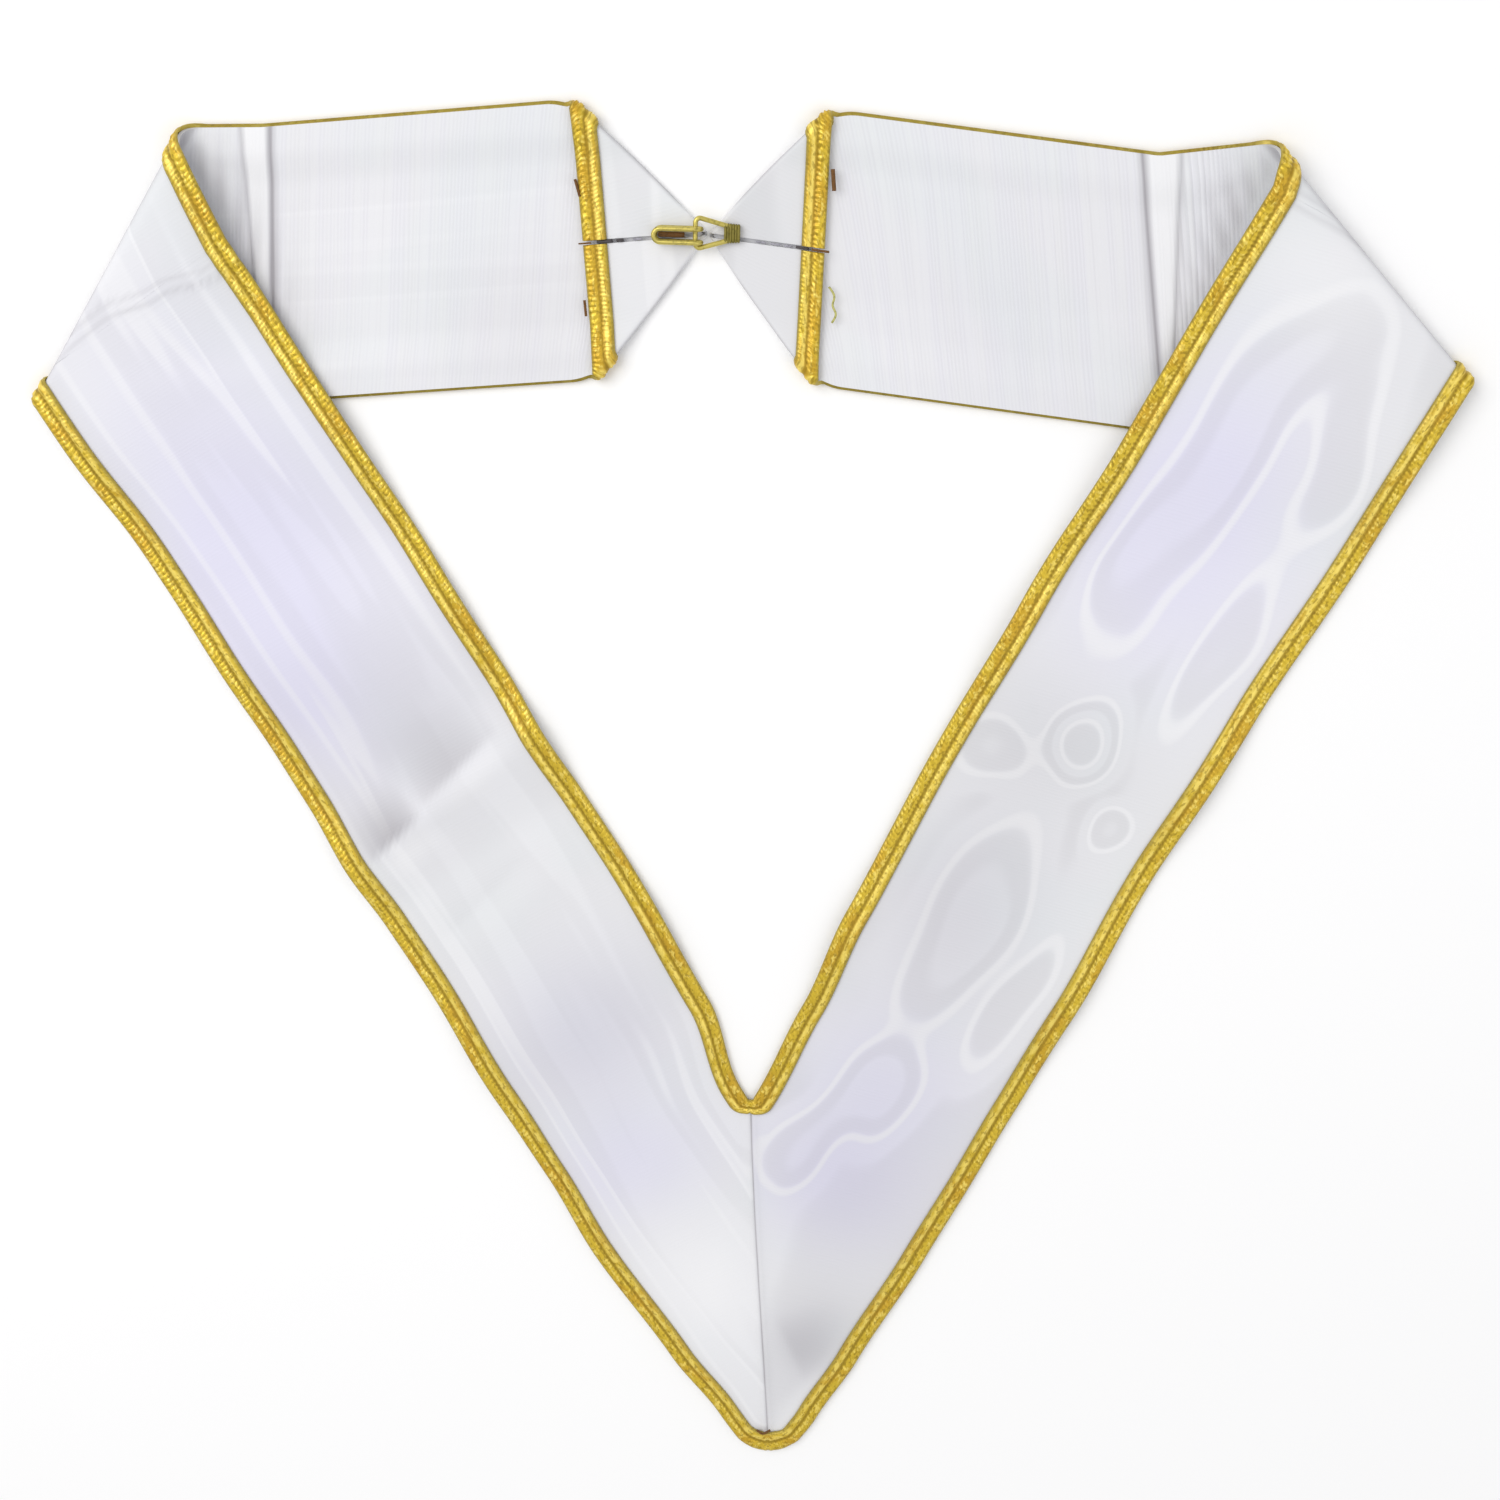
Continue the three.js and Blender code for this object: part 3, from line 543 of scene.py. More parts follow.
# the cross ribs: how two noises are drawn out, how far the first bends the ribs, and where they show
crossRib = {"pitch": 0.0014, "stretches": ((140.0, 7.0, 1.0), (420.0, 10.0, 1.0)), "detail": 1.5,
            "bend": 1.6, "shown": (0.3, 0.6), "streak": (0.40, 0.62)}


def makeMoireGroup():
    # watered lines: the contours of a slow noise drawn out along the ribbon, thin and light, each with
    # a darker fringe
    tree, source, target = newGroup(
        "wateredLines",
        {"Vector": (0, 0, 0), "Seed": 0.0, "Stretch": (7.5, 26.0, 1.0), "Hills": 0.0, "Lines": 5.0},
        ("Line", "Fringe"))
    stretched = vectorNode(tree, "MULTIPLY", source["Vector"], source["Stretch"])
    inputs = {**wateredLine["noise"], "Vector": stretched, "W": source["Seed"]}
    noise = newNode(tree, "ShaderNodeTexNoise", inputs, noise_dimensions="4D")
    field = mathNode(tree, "MULTIPLY_ADD", noise.outputs["Fac"], wateredLine["noiseShare"], source["Hills"])
    turns = mathNode(tree, "MULTIPLY", field, source["Lines"])
    wave = mathNode(tree, "SINE", mathNode(tree, "MULTIPLY", turns, 2 * math.pi))
    late = mathNode(tree, "SINE", mathNode(tree, "MULTIPLY_ADD", turns, 2 * math.pi, wateredLine["lag"]))
    feed(tree, target, {"Line": ramp(tree, wave, *wateredLine["line"]),
                        "Fringe": ramp(tree, late, *wateredLine["fringe"])})
    return tree


def makeHillGroup():
    # one oval hill at a place on the ribbon, which bends the watered lines round itself
    tree, source, target = newGroup(
        "ovalHill", {"Vector": (0, 0, 0), "Place": (0, 0, 0), "Size": (1, 1, 1), "Height": 0.5}, ("Hill",))
    away = vectorNode(tree, "SUBTRACT", source["Vector"], source["Place"])
    scaled = vectorNode(tree, "DIVIDE", away, source["Size"])
    length = newNode(tree, "ShaderNodeVectorMath", {0: scaled}, operation="LENGTH").outputs["Value"]
    fall = ramp(tree, length, hillReach, 0.0, "SMOOTHERSTEP")
    feed(tree, target, {"Hill": mathNode(tree, "MULTIPLY", fall, source["Height"])})
    return tree


def makeRibGroup():
    # the cross ribs of the silk: fine uneven lines across the ribbon, gathered into soft streaks
    tree, source, target = newGroup(
        "crossRibs", {"Vector": (0, 0, 0), "Pitch": crossRib["pitch"], "Lean": 0.0}, ("Height", "Streak"))
    parts = newNode(tree, "ShaderNodeSeparateXYZ", {0: source["Vector"]}).outputs
    leaned = mathNode(tree, "MULTIPLY_ADD", parts["Y"], source["Lean"], parts["X"])
    joined = newNode(tree, "ShaderNodeCombineXYZ", {"X": leaned, "Y": parts["Y"]}).outputs[0]
    drawn = []
    for stretch in crossRib["stretches"]:
        stretched = vectorNode(tree, "MULTIPLY", joined, stretch)
        drawn.append(noiseNode(tree, stretched, 1.0, crossRib["detail"]).outputs["Fac"])
    turns = mathNode(tree, "DIVIDE", leaned, source["Pitch"])
    bent = mathNode(tree, "ADD", turns, mathNode(tree, "MULTIPLY", drawn[0], crossRib["bend"]))
    rib = mathNode(tree, "SINE", mathNode(tree, "MULTIPLY", bent, 2 * math.pi))
    height = mathNode(tree, "MULTIPLY", mathNode(tree, "MULTIPLY_ADD", rib, 0.5, 0.5),
                      ramp(tree, drawn[1], *crossRib["shown"]))
    halves = [mathNode(tree, "MULTIPLY", noise, 0.5) for noise in drawn]
    feed(tree, target, {"Height": height,
                        "Streak": ramp(tree, mathNode(tree, "ADD", *halves), *crossRib["streak"])})
    return tree


moireGroup, hillGroup, ribGroup = makeMoireGroup(), makeHillGroup(), makeRibGroup()

# placed ovals of the watering: along, q, half length, half width and height
ovals = {
    "left": [(356, 56, 60, 26, 0.12), (470, 52, 80, 16, 0.14), (233, 50, 90, 20, 0.14),
             (120, 52, 70, 20, 0.12)],
    "right": [(381, 53, 21, 15, 0.80), (362, 80, 18, 15, 0.38), (355, 26, 11, 10.5, 0.36),
              (297, 57, 54, 19, 0.46), (480, 66, 78, 18, 0.44), (436, 26, 40, 12, 0.30),
              (208, 53, 26, 21, 0.42), (168, 72, 26, 16, 0.34), (268, 24, 40, 11, 0.30),
              (560, 46, 34, 22, 0.34), (520, 26, 34, 13, 0.28)],
}
# the silk's colours: lilac is the colour of its painted sheen, shadow that of its painted shade and light
# that of its painted light; these also colour the watered lines, their fringes and the reverse's ribs and
# streaks
silk = {
    "white": (0.785, 0.788, 0.808, 1), "lilac": (0.742, 0.730, 0.872, 1), "shadow": (0.350, 0.335, 0.360, 1),
    "light": (0.880, 0.880, 0.895, 1), "reverse": (0.790, 0.790, 0.815, 1), "cool": (0.755, 0.790, 0.800, 1),
}
# how strongly each side shows its watering, and how it is drawn out
watering = {
    "left": {"seed": 3.7, "lines": 4.6, "stretch": (2.4, 62.0, 1.0), "line": 0.38, "fringe": 0.08},
    "right": {"seed": 8.1, "lines": 2.6, "stretch": (7.0, 22.0, 1.0), "line": 0.62, "fringe": 0.13},
    "reverse": {"line": 0.10, "fringe": 0.03},
}
silkFinish = {"roughness": 0.50, "lineGloss": 0.12, "specular": 0.35, "sheen": 0.1, "sheenRoughness": 0.4,
              "lineRelief": 0.5, "bump": 0.22, "reverseBump": 0.35, "bumpDepth": 0.00012}
# the askew noise moves the figure, and the patches are cooler in colour
askew = {"scale": 21.0, "detail": 0.0, "move": 0.016}
patches = {"scale": 17.0, "detail": 2.0, "shown": (0.45, 0.68), "strength": 0.5}
# what each place of the cloth carries: lilac is painted sheen, grey is painted shade and light is painted
# light
silkShades = ("lilac", "grey", "light")


def hillsOf(tree, side, flat):
    # the side's ovals added up, drawn a little askew, so that none is a true one
    noise = noiseNode(tree, flat, askew["scale"], askew["detail"]).outputs["Color"]
    moved = vectorNode(tree, "MULTIPLY_ADD", noise, (askew["move"], askew["move"], 0), flat)
    drawn = vectorNode(tree, "SUBTRACT", moved, (askew["move"] / 2, askew["move"] / 2, 0))
    hills = 0.0
    for along, q, halfLength, halfWidth, height in ovals[side]:
        inputs = {"Vector": drawn, "Place": (along * mm, q * mm, 0),
                  "Size": (halfLength * mm, halfWidth * mm, 1), "Height": height}
        oval = newNode(tree, "ShaderNodeGroup", inputs, node_tree=hillGroup)
        hills = mathNode(tree, "ADD", hills, oval.outputs["Hill"])
    return hills


def silkMaterial(name, side, reverse=False):
    material, tree, shader = newMaterial(name)
    flat = newNode(tree, "ShaderNodeUVMap", uv_map="flat").outputs["UV"]
    shade = attributesOf(tree, silkShades)
    water = watering[side]
    strength = watering["reverse"] if reverse else water
    inputs = {"Vector": flat, "Seed": water["seed"], "Hills": hillsOf(tree, side, flat),
              "Lines": water["lines"], "Stretch": water["stretch"]}
    moire = newNode(tree, "ShaderNodeGroup", inputs, node_tree=moireGroup).outputs
    inputs = {"Vector": flat, "Lean": sides[side]["ribLean"]}
    ribs = newNode(tree, "ShaderNodeGroup", inputs, node_tree=ribGroup).outputs
    patch = noiseNode(tree, flat, patches["scale"], patches["detail"]).outputs["Fac"]
    cool = mathNode(tree, "MULTIPLY", ramp(tree, patch, *patches["shown"]), patches["strength"])
    # random cool patches, the painted lilac sheen, the watered lines with their fringes and, on the reverse,
    # the ribs; then the painted light and the painted shade (grey)
    layers = [(cool, "cool"), (shade["lilac"], "lilac"),
              (mathNode(tree, "MULTIPLY", moire["Fringe"], strength["fringe"]), "shadow"),
              (mathNode(tree, "MULTIPLY", moire["Line"], strength["line"]), "light")]
    if reverse:
        layers += [(mathNode(tree, "MULTIPLY", ribs["Streak"], sides[side]["streak"]), "lilac"),
                   (mathNode(tree, "MULTIPLY", ribs["Height"], sides[side]["rib"]), "shadow")]
    layers += [(shade["light"], "light"), (shade["grey"], "shadow")]
    colour = silk["reverse"] if reverse else silk["white"]
    for factor, key in layers:
        colour = mixColours(tree, factor, colour, silk[key])
    height = mathNode(tree, "MULTIPLY_ADD", moire["Line"], silkFinish["lineRelief"], ribs["Height"])
    feed(tree, shader, {
        "Base Color": colour,
        "Roughness": mathNode(tree, "MULTIPLY_ADD", moire["Line"], -silkFinish["lineGloss"],
                              silkFinish["roughness"]),
        "Specular IOR Level": silkFinish["specular"],
        "Sheen Weight": silkFinish["sheen"],
        "Sheen Roughness": silkFinish["sheenRoughness"],
        "Normal": bumpNode(tree, height, silkFinish["reverseBump" if reverse else "bump"],
                           silkFinish["bumpDepth"]),
    })
    return material


# the braid's golds: bright paints its highlights, edge the shade at its rims, and deep is both its darkest
# tone and its painted shade
gold = {"bright": (0.97, 0.76, 0.160, 1), "mid": (0.72, 0.51, 0.036, 1), "deep": (0.28, 0.175, 0.004, 1),
        "amber": (0.60, 0.33, 0.016, 1), "edge": (0.34, 0.275, 0.065, 1)}
# three noises by how fine they are, scale and detail, drawn out along the braid; then where each
# effect shows and how strongly
goldNoise = {"fine": (900.0, 1.0), "slow": (90.0, 1.0), "middle": (430.0, 2.0)}
goldShown = {"strand": (0.05, 0.55), "amber": (0.48, 0.62), "litFleck": (0.50, 0.60),
             "litStrand": (0.3, 0.7), "ridge": (0.30, 0.52), "speck": (0.54, 0.64)}
# how the braid is finished, with the strengths of its flecks, its painted highlights (lit, ridge) and its
# painted shade (cleft, rim)
goldFinishAndPaintedLight = {"stretch": (0.5, 1.0, 1.0), "amber": 0.55, "lit": 0.8, "ridge": 0.85, "speck": 0.55,
              "cleft": 0.45, "cleftNoise": 0.7, "rim": 0.75, "metallic": 0.4, "roughness": 0.27,
              "roughNoise": 0.25, "bump": 0.3, "bumpDepth": 0.0001}
braidShades = ("crest", "ridge", "rim", "cleft")


def goldBraidMaterial():
    # colours by the place across the braid, by how near the crest of a strand is, and by small flecks; the
    # crests and the narrow ridge get painted highlights, and the low strands, the cleft and the rim painted
    # shade
    material, tree, shader = newMaterial("goldBraid")
    flat = newNode(tree, "ShaderNodeUVMap", uv_map="flat").outputs["UV"]
    shade = attributesOf(tree, braidShades)
    drawn = vectorNode(tree, "MULTIPLY", flat, goldFinishAndPaintedLight["stretch"])
    fleck = {name: noiseNode(tree, drawn, *size).outputs["Fac"] for name, size in goldNoise.items()}

    def times(first, second):
        return mathNode(tree, "MULTIPLY", first, second)

    def shown(value, name):
        return ramp(tree, value, *goldShown[name])

    # painted highlights on lit flecks of the strands' crests and on the narrow ridge; the low strands stay
    # deep, and the cleft and rim are darkened, as painted shade
    lit = times(shown(fleck["middle"], "litFleck"), shown(shade["crest"], "litStrand"))
    paintedRidgeHighlight = times(shade["ridge"], shown(fleck["middle"], "ridge"))
    cleft = mathNode(tree, "MULTIPLY_ADD", fleck["middle"], goldFinishAndPaintedLight["cleftNoise"], goldFinishAndPaintedLight["cleft"])
    layers = [(shown(shade["crest"], "strand"), "mid"),
              (times(shown(fleck["slow"], "amber"), goldFinishAndPaintedLight["amber"]), "amber"),
              (times(lit, goldFinishAndPaintedLight["lit"]), "bright"), (times(paintedRidgeHighlight, goldFinishAndPaintedLight["ridge"]), "bright"),
              (times(shown(fleck["fine"], "speck"), goldFinishAndPaintedLight["speck"]), "deep"),
              (times(shade["cleft"], cleft), "deep"), (times(shade["rim"], goldFinishAndPaintedLight["rim"]), "edge")]
    colour = gold["deep"]
    for factor, key in layers:
        colour = mixColours(tree, factor, colour, gold[key])
    rough = mathNode(tree, "MULTIPLY_ADD", fleck["fine"], goldFinishAndPaintedLight["roughNoise"], goldFinishAndPaintedLight["roughness"])
    feed(tree, shader, {
        "Base Color": colour, "Metallic": goldFinishAndPaintedLight["metallic"], "Roughness": rough,
        "Normal": bumpNode(tree, fleck["fine"], goldFinishAndPaintedLight["bump"], goldFinishAndPaintedLight["bumpDepth"]),
    })
    return material


# wire and thread: darker flecks, and a surface that is rougher where they lie
plainFinish = {"detail": 3.0, "dark": 0.55, "shown": (0.45, 0.75), "roughNoise": 0.2}


def plainMaterial(name, colour, metallic, roughness, grain):
    material, tree, shader = newMaterial(name)
    place = newNode(tree, "ShaderNodeTexCoord").outputs["Object"]
    noise = noiseNode(tree, place, grain, plainFinish["detail"]).outputs["Fac"]
    dark = tuple(plainFinish["dark"] * c for c in colour[:3]) + (1,)
    feed(tree, shader, {
        "Base Color": mixColours(tree, ramp(tree, noise, *plainFinish["shown"]), colour, dark),
        "Metallic": metallic,
        "Roughness": mathNode(tree, "MULTIPLY_ADD", noise, plainFinish["roughNoise"], roughness),
    })
    return material


# the pieces of cloth


# corners closer than this, in metres, are one
weld = 2e-6


def flatGrid(columns, rows):
    # a grid of quads whose corners carry their column and row
    bm = bmesh.new()
    bmesh.ops.create_grid(bm, x_segments=columns - 1, y_segments=rows - 1, size=0.5)
    bm.verts.ensure_lookup_table()
    places = np.array([v.co for v in bm.verts])
    column = np.rint((places[:, 0] + 0.5) * (columns - 1)).astype(int)
    row = np.rint((places[:, 1] + 0.5) * (rows - 1)).astype(int)
    return bm, column, row


def moveTo(bm, points):
    for vert, place in zip(bm.verts, toFrame(points)):
        vert.co = place


def closeUp(bm):
    # welds corners that meet, fills the open ends and turns every face outward
    bmesh.ops.remove_doubles(bm, verts=bm.verts, dist=weld)
    bmesh.ops.holes_fill(bm, edges=[edge for edge in bm.edges if edge.is_boundary], sides=0)
    bmesh.ops.recalc_face_normals(bm, faces=bm.faces)


def carry(bm, points, flat, shades):
    # moves every corner to its laid place, and keeps its place on the flat ribbon and its shades
    uv = bm.loops.layers.uv.new("flat")
    layers = {name: bm.verts.layers.float.new(name) for name in shades}
    moveTo(bm, points)
    for vert in bm.verts:
        for name, layer in layers.items():
            vert[layer] = shades[name][vert.index]
    for face in bm.faces:
        for loop in face.loops:
            loop[uv].uv = flat[loop.vert.index]


def finishPiece(bm, name, materials, nodes):
    bmesh.ops.remove_doubles(bm, verts=bm.verts, dist=weld)
    bmesh.ops.dissolve_degenerate(bm, dist=weld / 2, edges=bm.edges)
    mesh = bpy.data.meshes.new(name)
    bm.to_mesh(mesh)
    bm.free()
    for polygon in mesh.polygons:
        polygon.use_smooth = True
    for material in materials:
        mesh.materials.append(material)
    piece = bpy.data.objects.new(name, mesh)
    bpy.context.scene.collection.objects.link(piece)
    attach(piece, "root")
    if nodes:
        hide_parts(*nodes)
    return piece


# broad patches painted on the silk: place (along, q), half length and half width, and how much painted lilac
# sheen, painted shade (grey) or painted light each adds
zones = {
    "left": [
        {"at": (485, 48), "size": (95, 60), "lilac": 0.95, "grey": 0.03},
        {"at": (440, 20), "size": (60, 26), "lilac": 0.90, "grey": 0.06},
        {"at": (392, 50), "size": (40, 50), "lilac": 0.12, "grey": 0.16},
        {"at": (322, 42), "size": (22, 46), "lilac": 0.05, "light": 0.25},
        {"at": (238, 46), "size": (46, 46), "lilac": 0.50, "grey": 0.20},
        {"at": (176, 38), "size": (34, 46), "lilac": 0.70, "grey": 0.06},
        {"at": (108, 36), "size": (46, 44), "lilac": 0.10, "light": 0.85},
        {"at": (752, 20), "size": (45, 40), "grey": 0.13},
    ],
    "right": [
        {"at": (490, 69), "size": (66, 44), "lilac": 1.00, "grey": 0.03},
        {"at": (450, 46), "size": (46, 50), "lilac": 0.55, "light": 0.15},
        {"at": (375, 68), "size": (40, 46), "lilac": 0.05, "grey": 0.17},
        {"at": (297, 62), "size": (52, 44), "lilac": 0.22, "grey": 0.27},
        {"at": (210, 54), "size": (46, 50), "lilac": 0.72, "grey": 0.14},
        {"at": (160, 52), "size": (36, 46), "lilac": 0.80, "grey": 0.15},
        {"at": (84, 24), "size": (30, 22), "lilac": 0.10, "grey": 0.30},
        {"at": (622, 32), "size": (26, 30), "lilac": 0.05, "grey": 0.16},
        {"at": (578, 66), "size": (26, 30), "light": 0.55},
        {"at": (728, 25), "size": (40, 36), "lilac": 0.05, "grey": 0.06},
    ],
}
zoneFall = 1.4  # how fast a zone fades out from its middle
# a crease across the ribbon, from one place to another: painted shade above its line and painted light below
creaseShades = {
    "left": [
        {"start": (345, 10), "end": (354, 42), "dark": 0.70, "light": 0.5, "reach": 19},
        {"start": (356, 40), "end": (369, 86), "dark": 0.42, "light": 0.4, "reach": 24},
        {"start": (300, 14), "end": (318, 70), "dark": 0.10, "light": 0.2, "reach": 22},
    ],
    "right": [
        {"start": (64, 14), "end": (88, 44), "dark": 0.20, "light": 0.3, "reach": 26},
    ],
}
# how its ends fade, how soon its dark side sets in and how far off its light side lies
creaseEdge = {"ends": 0.8, "edge": 4.0, "lightAway": 6.0}
# painted shade and painted light where the collar lies in seams, hems, the tuck, the roll and the hollow:
# strengths, and places and widths in mm; the roll's places are angles
seamShade = {"vLine": 0.78, "vWidth": 0.95, "vSoft": 0.12, "vReach": 4.0, "line": 0.19, "away": 2.2,
             "width": 1.0, "soft": 0.048, "reach": 7.0}
hemShade = {"line": 0.75, "width": 0.8, "tipClear": 7.0, "tipStart": 0.3, "flapFade": 2.0}
tuckShade = {"line": 0.90, "lineAway": 0.6, "back": 0.36, "backAway": 0.5, "width": 1.1, "light": 0.8,
             "lightFade": 1.5}
rollShade = {"dark": 0.50, "start": -1.0, "startFade": 0.8, "end": 1.3, "endFade": 0.6}
hollow = {"dark": 0.22, "away": 5.5, "soft": 0.07, "softReach": 20.0, "streak": 0.55, "streakPitch": 7.4,
          "streakBend": 1.4, "bendPitch": 17.0, "centre": 16.0, "length": 32.0, "lengthShare": 2.1,
          "edgeFade": 24.0, "edgeShare": 0.2}


def zoneShades(side, along, q):
    shades = {name: np.zeros_like(along) for name in silkShades}
    for zone in zones[side["name"]]:
        away = np.hypot((along - zone["at"][0]) / zone["size"][0], (q - zone["at"][1]) / zone["size"][1])
        for name in silkShades:
            shades[name] = shades[name] + zone.get(name, 0) * np.exp(-zoneFall * away ** 2)
    # painted shade above each crease's line and painted light below it
    for row in creaseShades[side["name"]]:
        part, offset, run = onLine(row, along, q)
        above = dot(offset, np.array([run[1], -run[0]])) / np.linalg.norm(run)
        ends = np.sin(math.pi * part) ** creaseEdge["ends"]
        dark = smooth(above / creaseEdge["edge"]) * bell(above, row["reach"])
        light = bell(above + creaseEdge["lightAway"], creaseEdge["lightAway"])
        shades["grey"] = shades["grey"] + row["dark"] * ends * dark
        shades["light"] = shades["light"] + row["light"] * ends * light
    return shades


def seamPaintedShade(side, along, q):
    # painted shade along the V's seam and in lines on both sides of the shoulder's seam, each with a softer
    # fall
    fromV, fromSeam = seamDistances(side, along, q)
    return seamShade["vLine"] * bell(fromV, seamShade["vWidth"]) \
        + seamShade["vSoft"] * np.exp(-fromV / seamShade["vReach"]) \
        + seamShade["line"] * bell(fromSeam - seamShade["away"], seamShade["width"]) \
        + seamShade["soft"] * np.exp(-fromSeam / seamShade["reach"])


def hemDark(side, along, q):
    # the folded corners: a line of painted shade along the hem, and the flaps a little darker
    across, tuck = bandPlace(side, q)
    x = along - tuck + across * side["tuckSlope"]
    inside = side["neckHalf"] - np.abs(across - side["neckMiddle"])
    fromHem = (x - side["base"] - inside) / math.sqrt(2) - (math.pi / 2 - 1) * hemRadius
    tipClear = smooth((side["tip"] - x) / hemShade["tipClear"] - hemShade["tipStart"])
    line = hemShade["line"] * bell(fromHem, hemShade["width"]) * tipClear
    return np.where(along > tuck, line + side["flap"] * smooth(fromHem / hemShade["flapFade"]), 0)


def tuckPaintedShadeAndLight(side, along, q):
    # painted shade in lines along both edges of the tuck, and painted light on its face
    across, tuck = bandPlace(side, q)
    fromLine = along - tuckShown(side, tuck, across)
    fromBack = fromLine + tuckWidth(side, q)
    dark = tuckShade["line"] * bell(fromLine - tuckShade["lineAway"], tuckShade["width"]) \
        + tuckShade["back"] * bell(fromBack + tuckShade["backAway"], tuckShade["width"])
    onTuck = smooth(fromBack / tuckShade["lightFade"]) * smooth(-fromLine / tuckShade["lightFade"])
    return dark, tuckShade["light"] * onTuck


def foldPaintedShade(side, along, q, place):
    # painted shade on the roll, and in the streaked hollow in the band beside the front that lies over it
    toFold = dot(unfolded(side, along, q) - side["foldCentre"], side["foldOut"])
    angle = toFold / foldRadius(q) + 1 - math.pi / 2
    roll = rollShade["dark"] * smooth((angle - rollShade["start"]) / rollShade["startFade"]) \
        * smooth((rollShade["end"] - angle) / rollShade["endFade"])
    plan = np.stack([place[..., 0] * side["sign"], place[..., 1]], -1)
    beside = np.maximum(dot(plan, side["inward"]) - ribbon["width"], 0)
    fromCentre = np.abs(dot(plan - side["foldCentre"], side["band"]) - hollow["centre"])
    nearRoll = smooth(hollow["lengthShare"] - fromCentre / hollow["length"])
    bend = hollow["streakBend"] * np.sin(q / hollow["bendPitch"])
    streaks = 1 + hollow["streak"] * np.sin(2 * math.pi * along / hollow["streakPitch"] + bend)
    share = beside / hollow["away"]
    edge = smooth((ribbon["width"] - q) / hollow["edgeFade"] + hollow["edgeShare"])
    dark = hollow["dark"] * nearRoll * streaks * share * np.exp(1 - share) * edge \
        + hollow["soft"] * bell(beside, hollow["softReach"])
    return roll + np.where(toFold > foldRadius(q), dark, 0)


def shadesOf(side, along, q, place):
    # the painted lilac sheen, painted shade (grey) and painted light of each place on the silk
    shades = zoneShades(side, along, q)
    tuckDark, tuckLight = tuckPaintedShadeAndLight(side, along, q)
    shades["grey"] += seamPaintedShade(side, along, q) + hemDark(side, along, q) + tuckDark \
        + foldPaintedShade(side, along, q, place)
    shades["light"] += tuckLight
    return {name: np.clip(value, 0, 1) for name, value in shades.items()}


def acrossCloth(count):
    return np.linspace(braid["overhang"], ribbon["width"] - braid["overhang"], count)


def makeCloth(name, node, side, upToSeam):
    q = acrossCloth(clothSteps["rows"])
    stations = stationsFrom(side, q)
    seam, gap = seamAlong(side, q), ribbon["shoulderGap"] / 2
    toSeam = len(besideSeam) + clothSteps["point"] + clothSteps["front"] + clothSteps["sink"]
    if upToSeam:
        last = toSeam + clothSteps["roll"] + 2
        upTo = np.minimum(stations[:last], seam - gap - seamReach)
        stations = np.vstack([upTo, [seam - gap - away for away in reversed(besideSeam)]])
    else:
        first = toSeam - clothSteps["sink"] // 2
        onFrom = np.maximum(stations[first:], seam + gap + seamReach)
        stations = np.vstack([[seam + gap + away for away in besideSeam], onFrom])
    bm, column, row = flatGrid(len(stations), len(q))
    along, across = stations[column, row], q[row]
    inBand, tuck = bandPlace(side, across)
    pressed = tuckShown(side, tuck, inBand)
    onTuck = smooth((along - pressed + tuckWidth(side, across)) / neckEnd["tuckEase"] + 0.5) \
        * smooth((pressed - along) / neckEnd["tuckEase"] + 0.5)
    lift = -0.5 * onTuck * neckEnd["tuckHeight"]
    points = layRibbon(side, along, across, lift)
    carry(bm, points, np.stack([along, across], -1) * mm, shadesOf(side, along, across, points))
    if side["sign"] < 0:
        bmesh.ops.reverse_faces(bm, faces=bm.faces)
    for edge in bm.edges:
        edge.smooth = not edge.is_boundary
    face, reverse = silkMaterials[side["name"]]
    piece = finishPiece(bm, name, [face, reverse], [node])
    wall = piece.modifiers.new("wall", "SOLIDIFY")
    wall.thickness = (ribbon["wall"] - ribbon["wallClear"]) * mm
    wall.offset = 0
    wall.use_even_offset = True
    wall.material_offset = 1
    return piece


silkMaterials, clothPieces = {}, {}
for sideName, sideData in frames.items():
    silkMaterials[sideName] = (silkMaterial("silkFace_" + sideName, sideName),
                               silkMaterial("silkReverse_" + sideName, sideName, True))
    for part in ("front", "neck"):
        name, node = part + "Silk_" + sideName, part + "_ribbon_" + sideName
        clothPieces[part + "_" + sideName] = makeCloth(name, node, sideData, part == "front")
print("cloth made")

# the plait: a wide ridge of slanting strands and a narrow one, with the cleft between them; shares of
# the braid's width and height, while sideCrest, rimCrest and under set the painted shade of its rims, sides
# and underside
plait = {"pitch": 1.9, "finePitch": 1.5, "relief": 0.26, "fineRelief": 0.16, "step": 0.39, "columns": 15,
         "groove": 0.53, "cleft": 0.045, "slant": 1.1, "fineSlant": 0.8, "rim": 0.10, "innerRim": 0.20,
         "dome": 0.55, "fineDome": 0.6, "fineHeight": 0.88, "foot": 0.28, "strandEdge": 0.7,
         "sideCrest": 0.62, "rimCrest": 0.5, "under": 0.85}
# how unevenly its strands lie, along and across
looseness = {"slow": 0.30, "slowRun": 5.3, "quick": 0.22, "quickRun": 2.1, "quickAcross": 5.0, "lumps": 0.16,
             "lumpAlong": (2.6, 0.83), "lumpAcross": (17.0, 9.0), "lumpStart": 1.3}
# how near the crest of its strand a place counts, at the least and by the strand's own height
crestOf = {"wide": 0.45, "wideStrand": 0.40, "fine": 0.62, "fineStrand": 0.22, "lump": 0.2}
ridgeOf = {"start": 0.03, "rise": 0.06, "end": 0.82, "fall": 0.07}


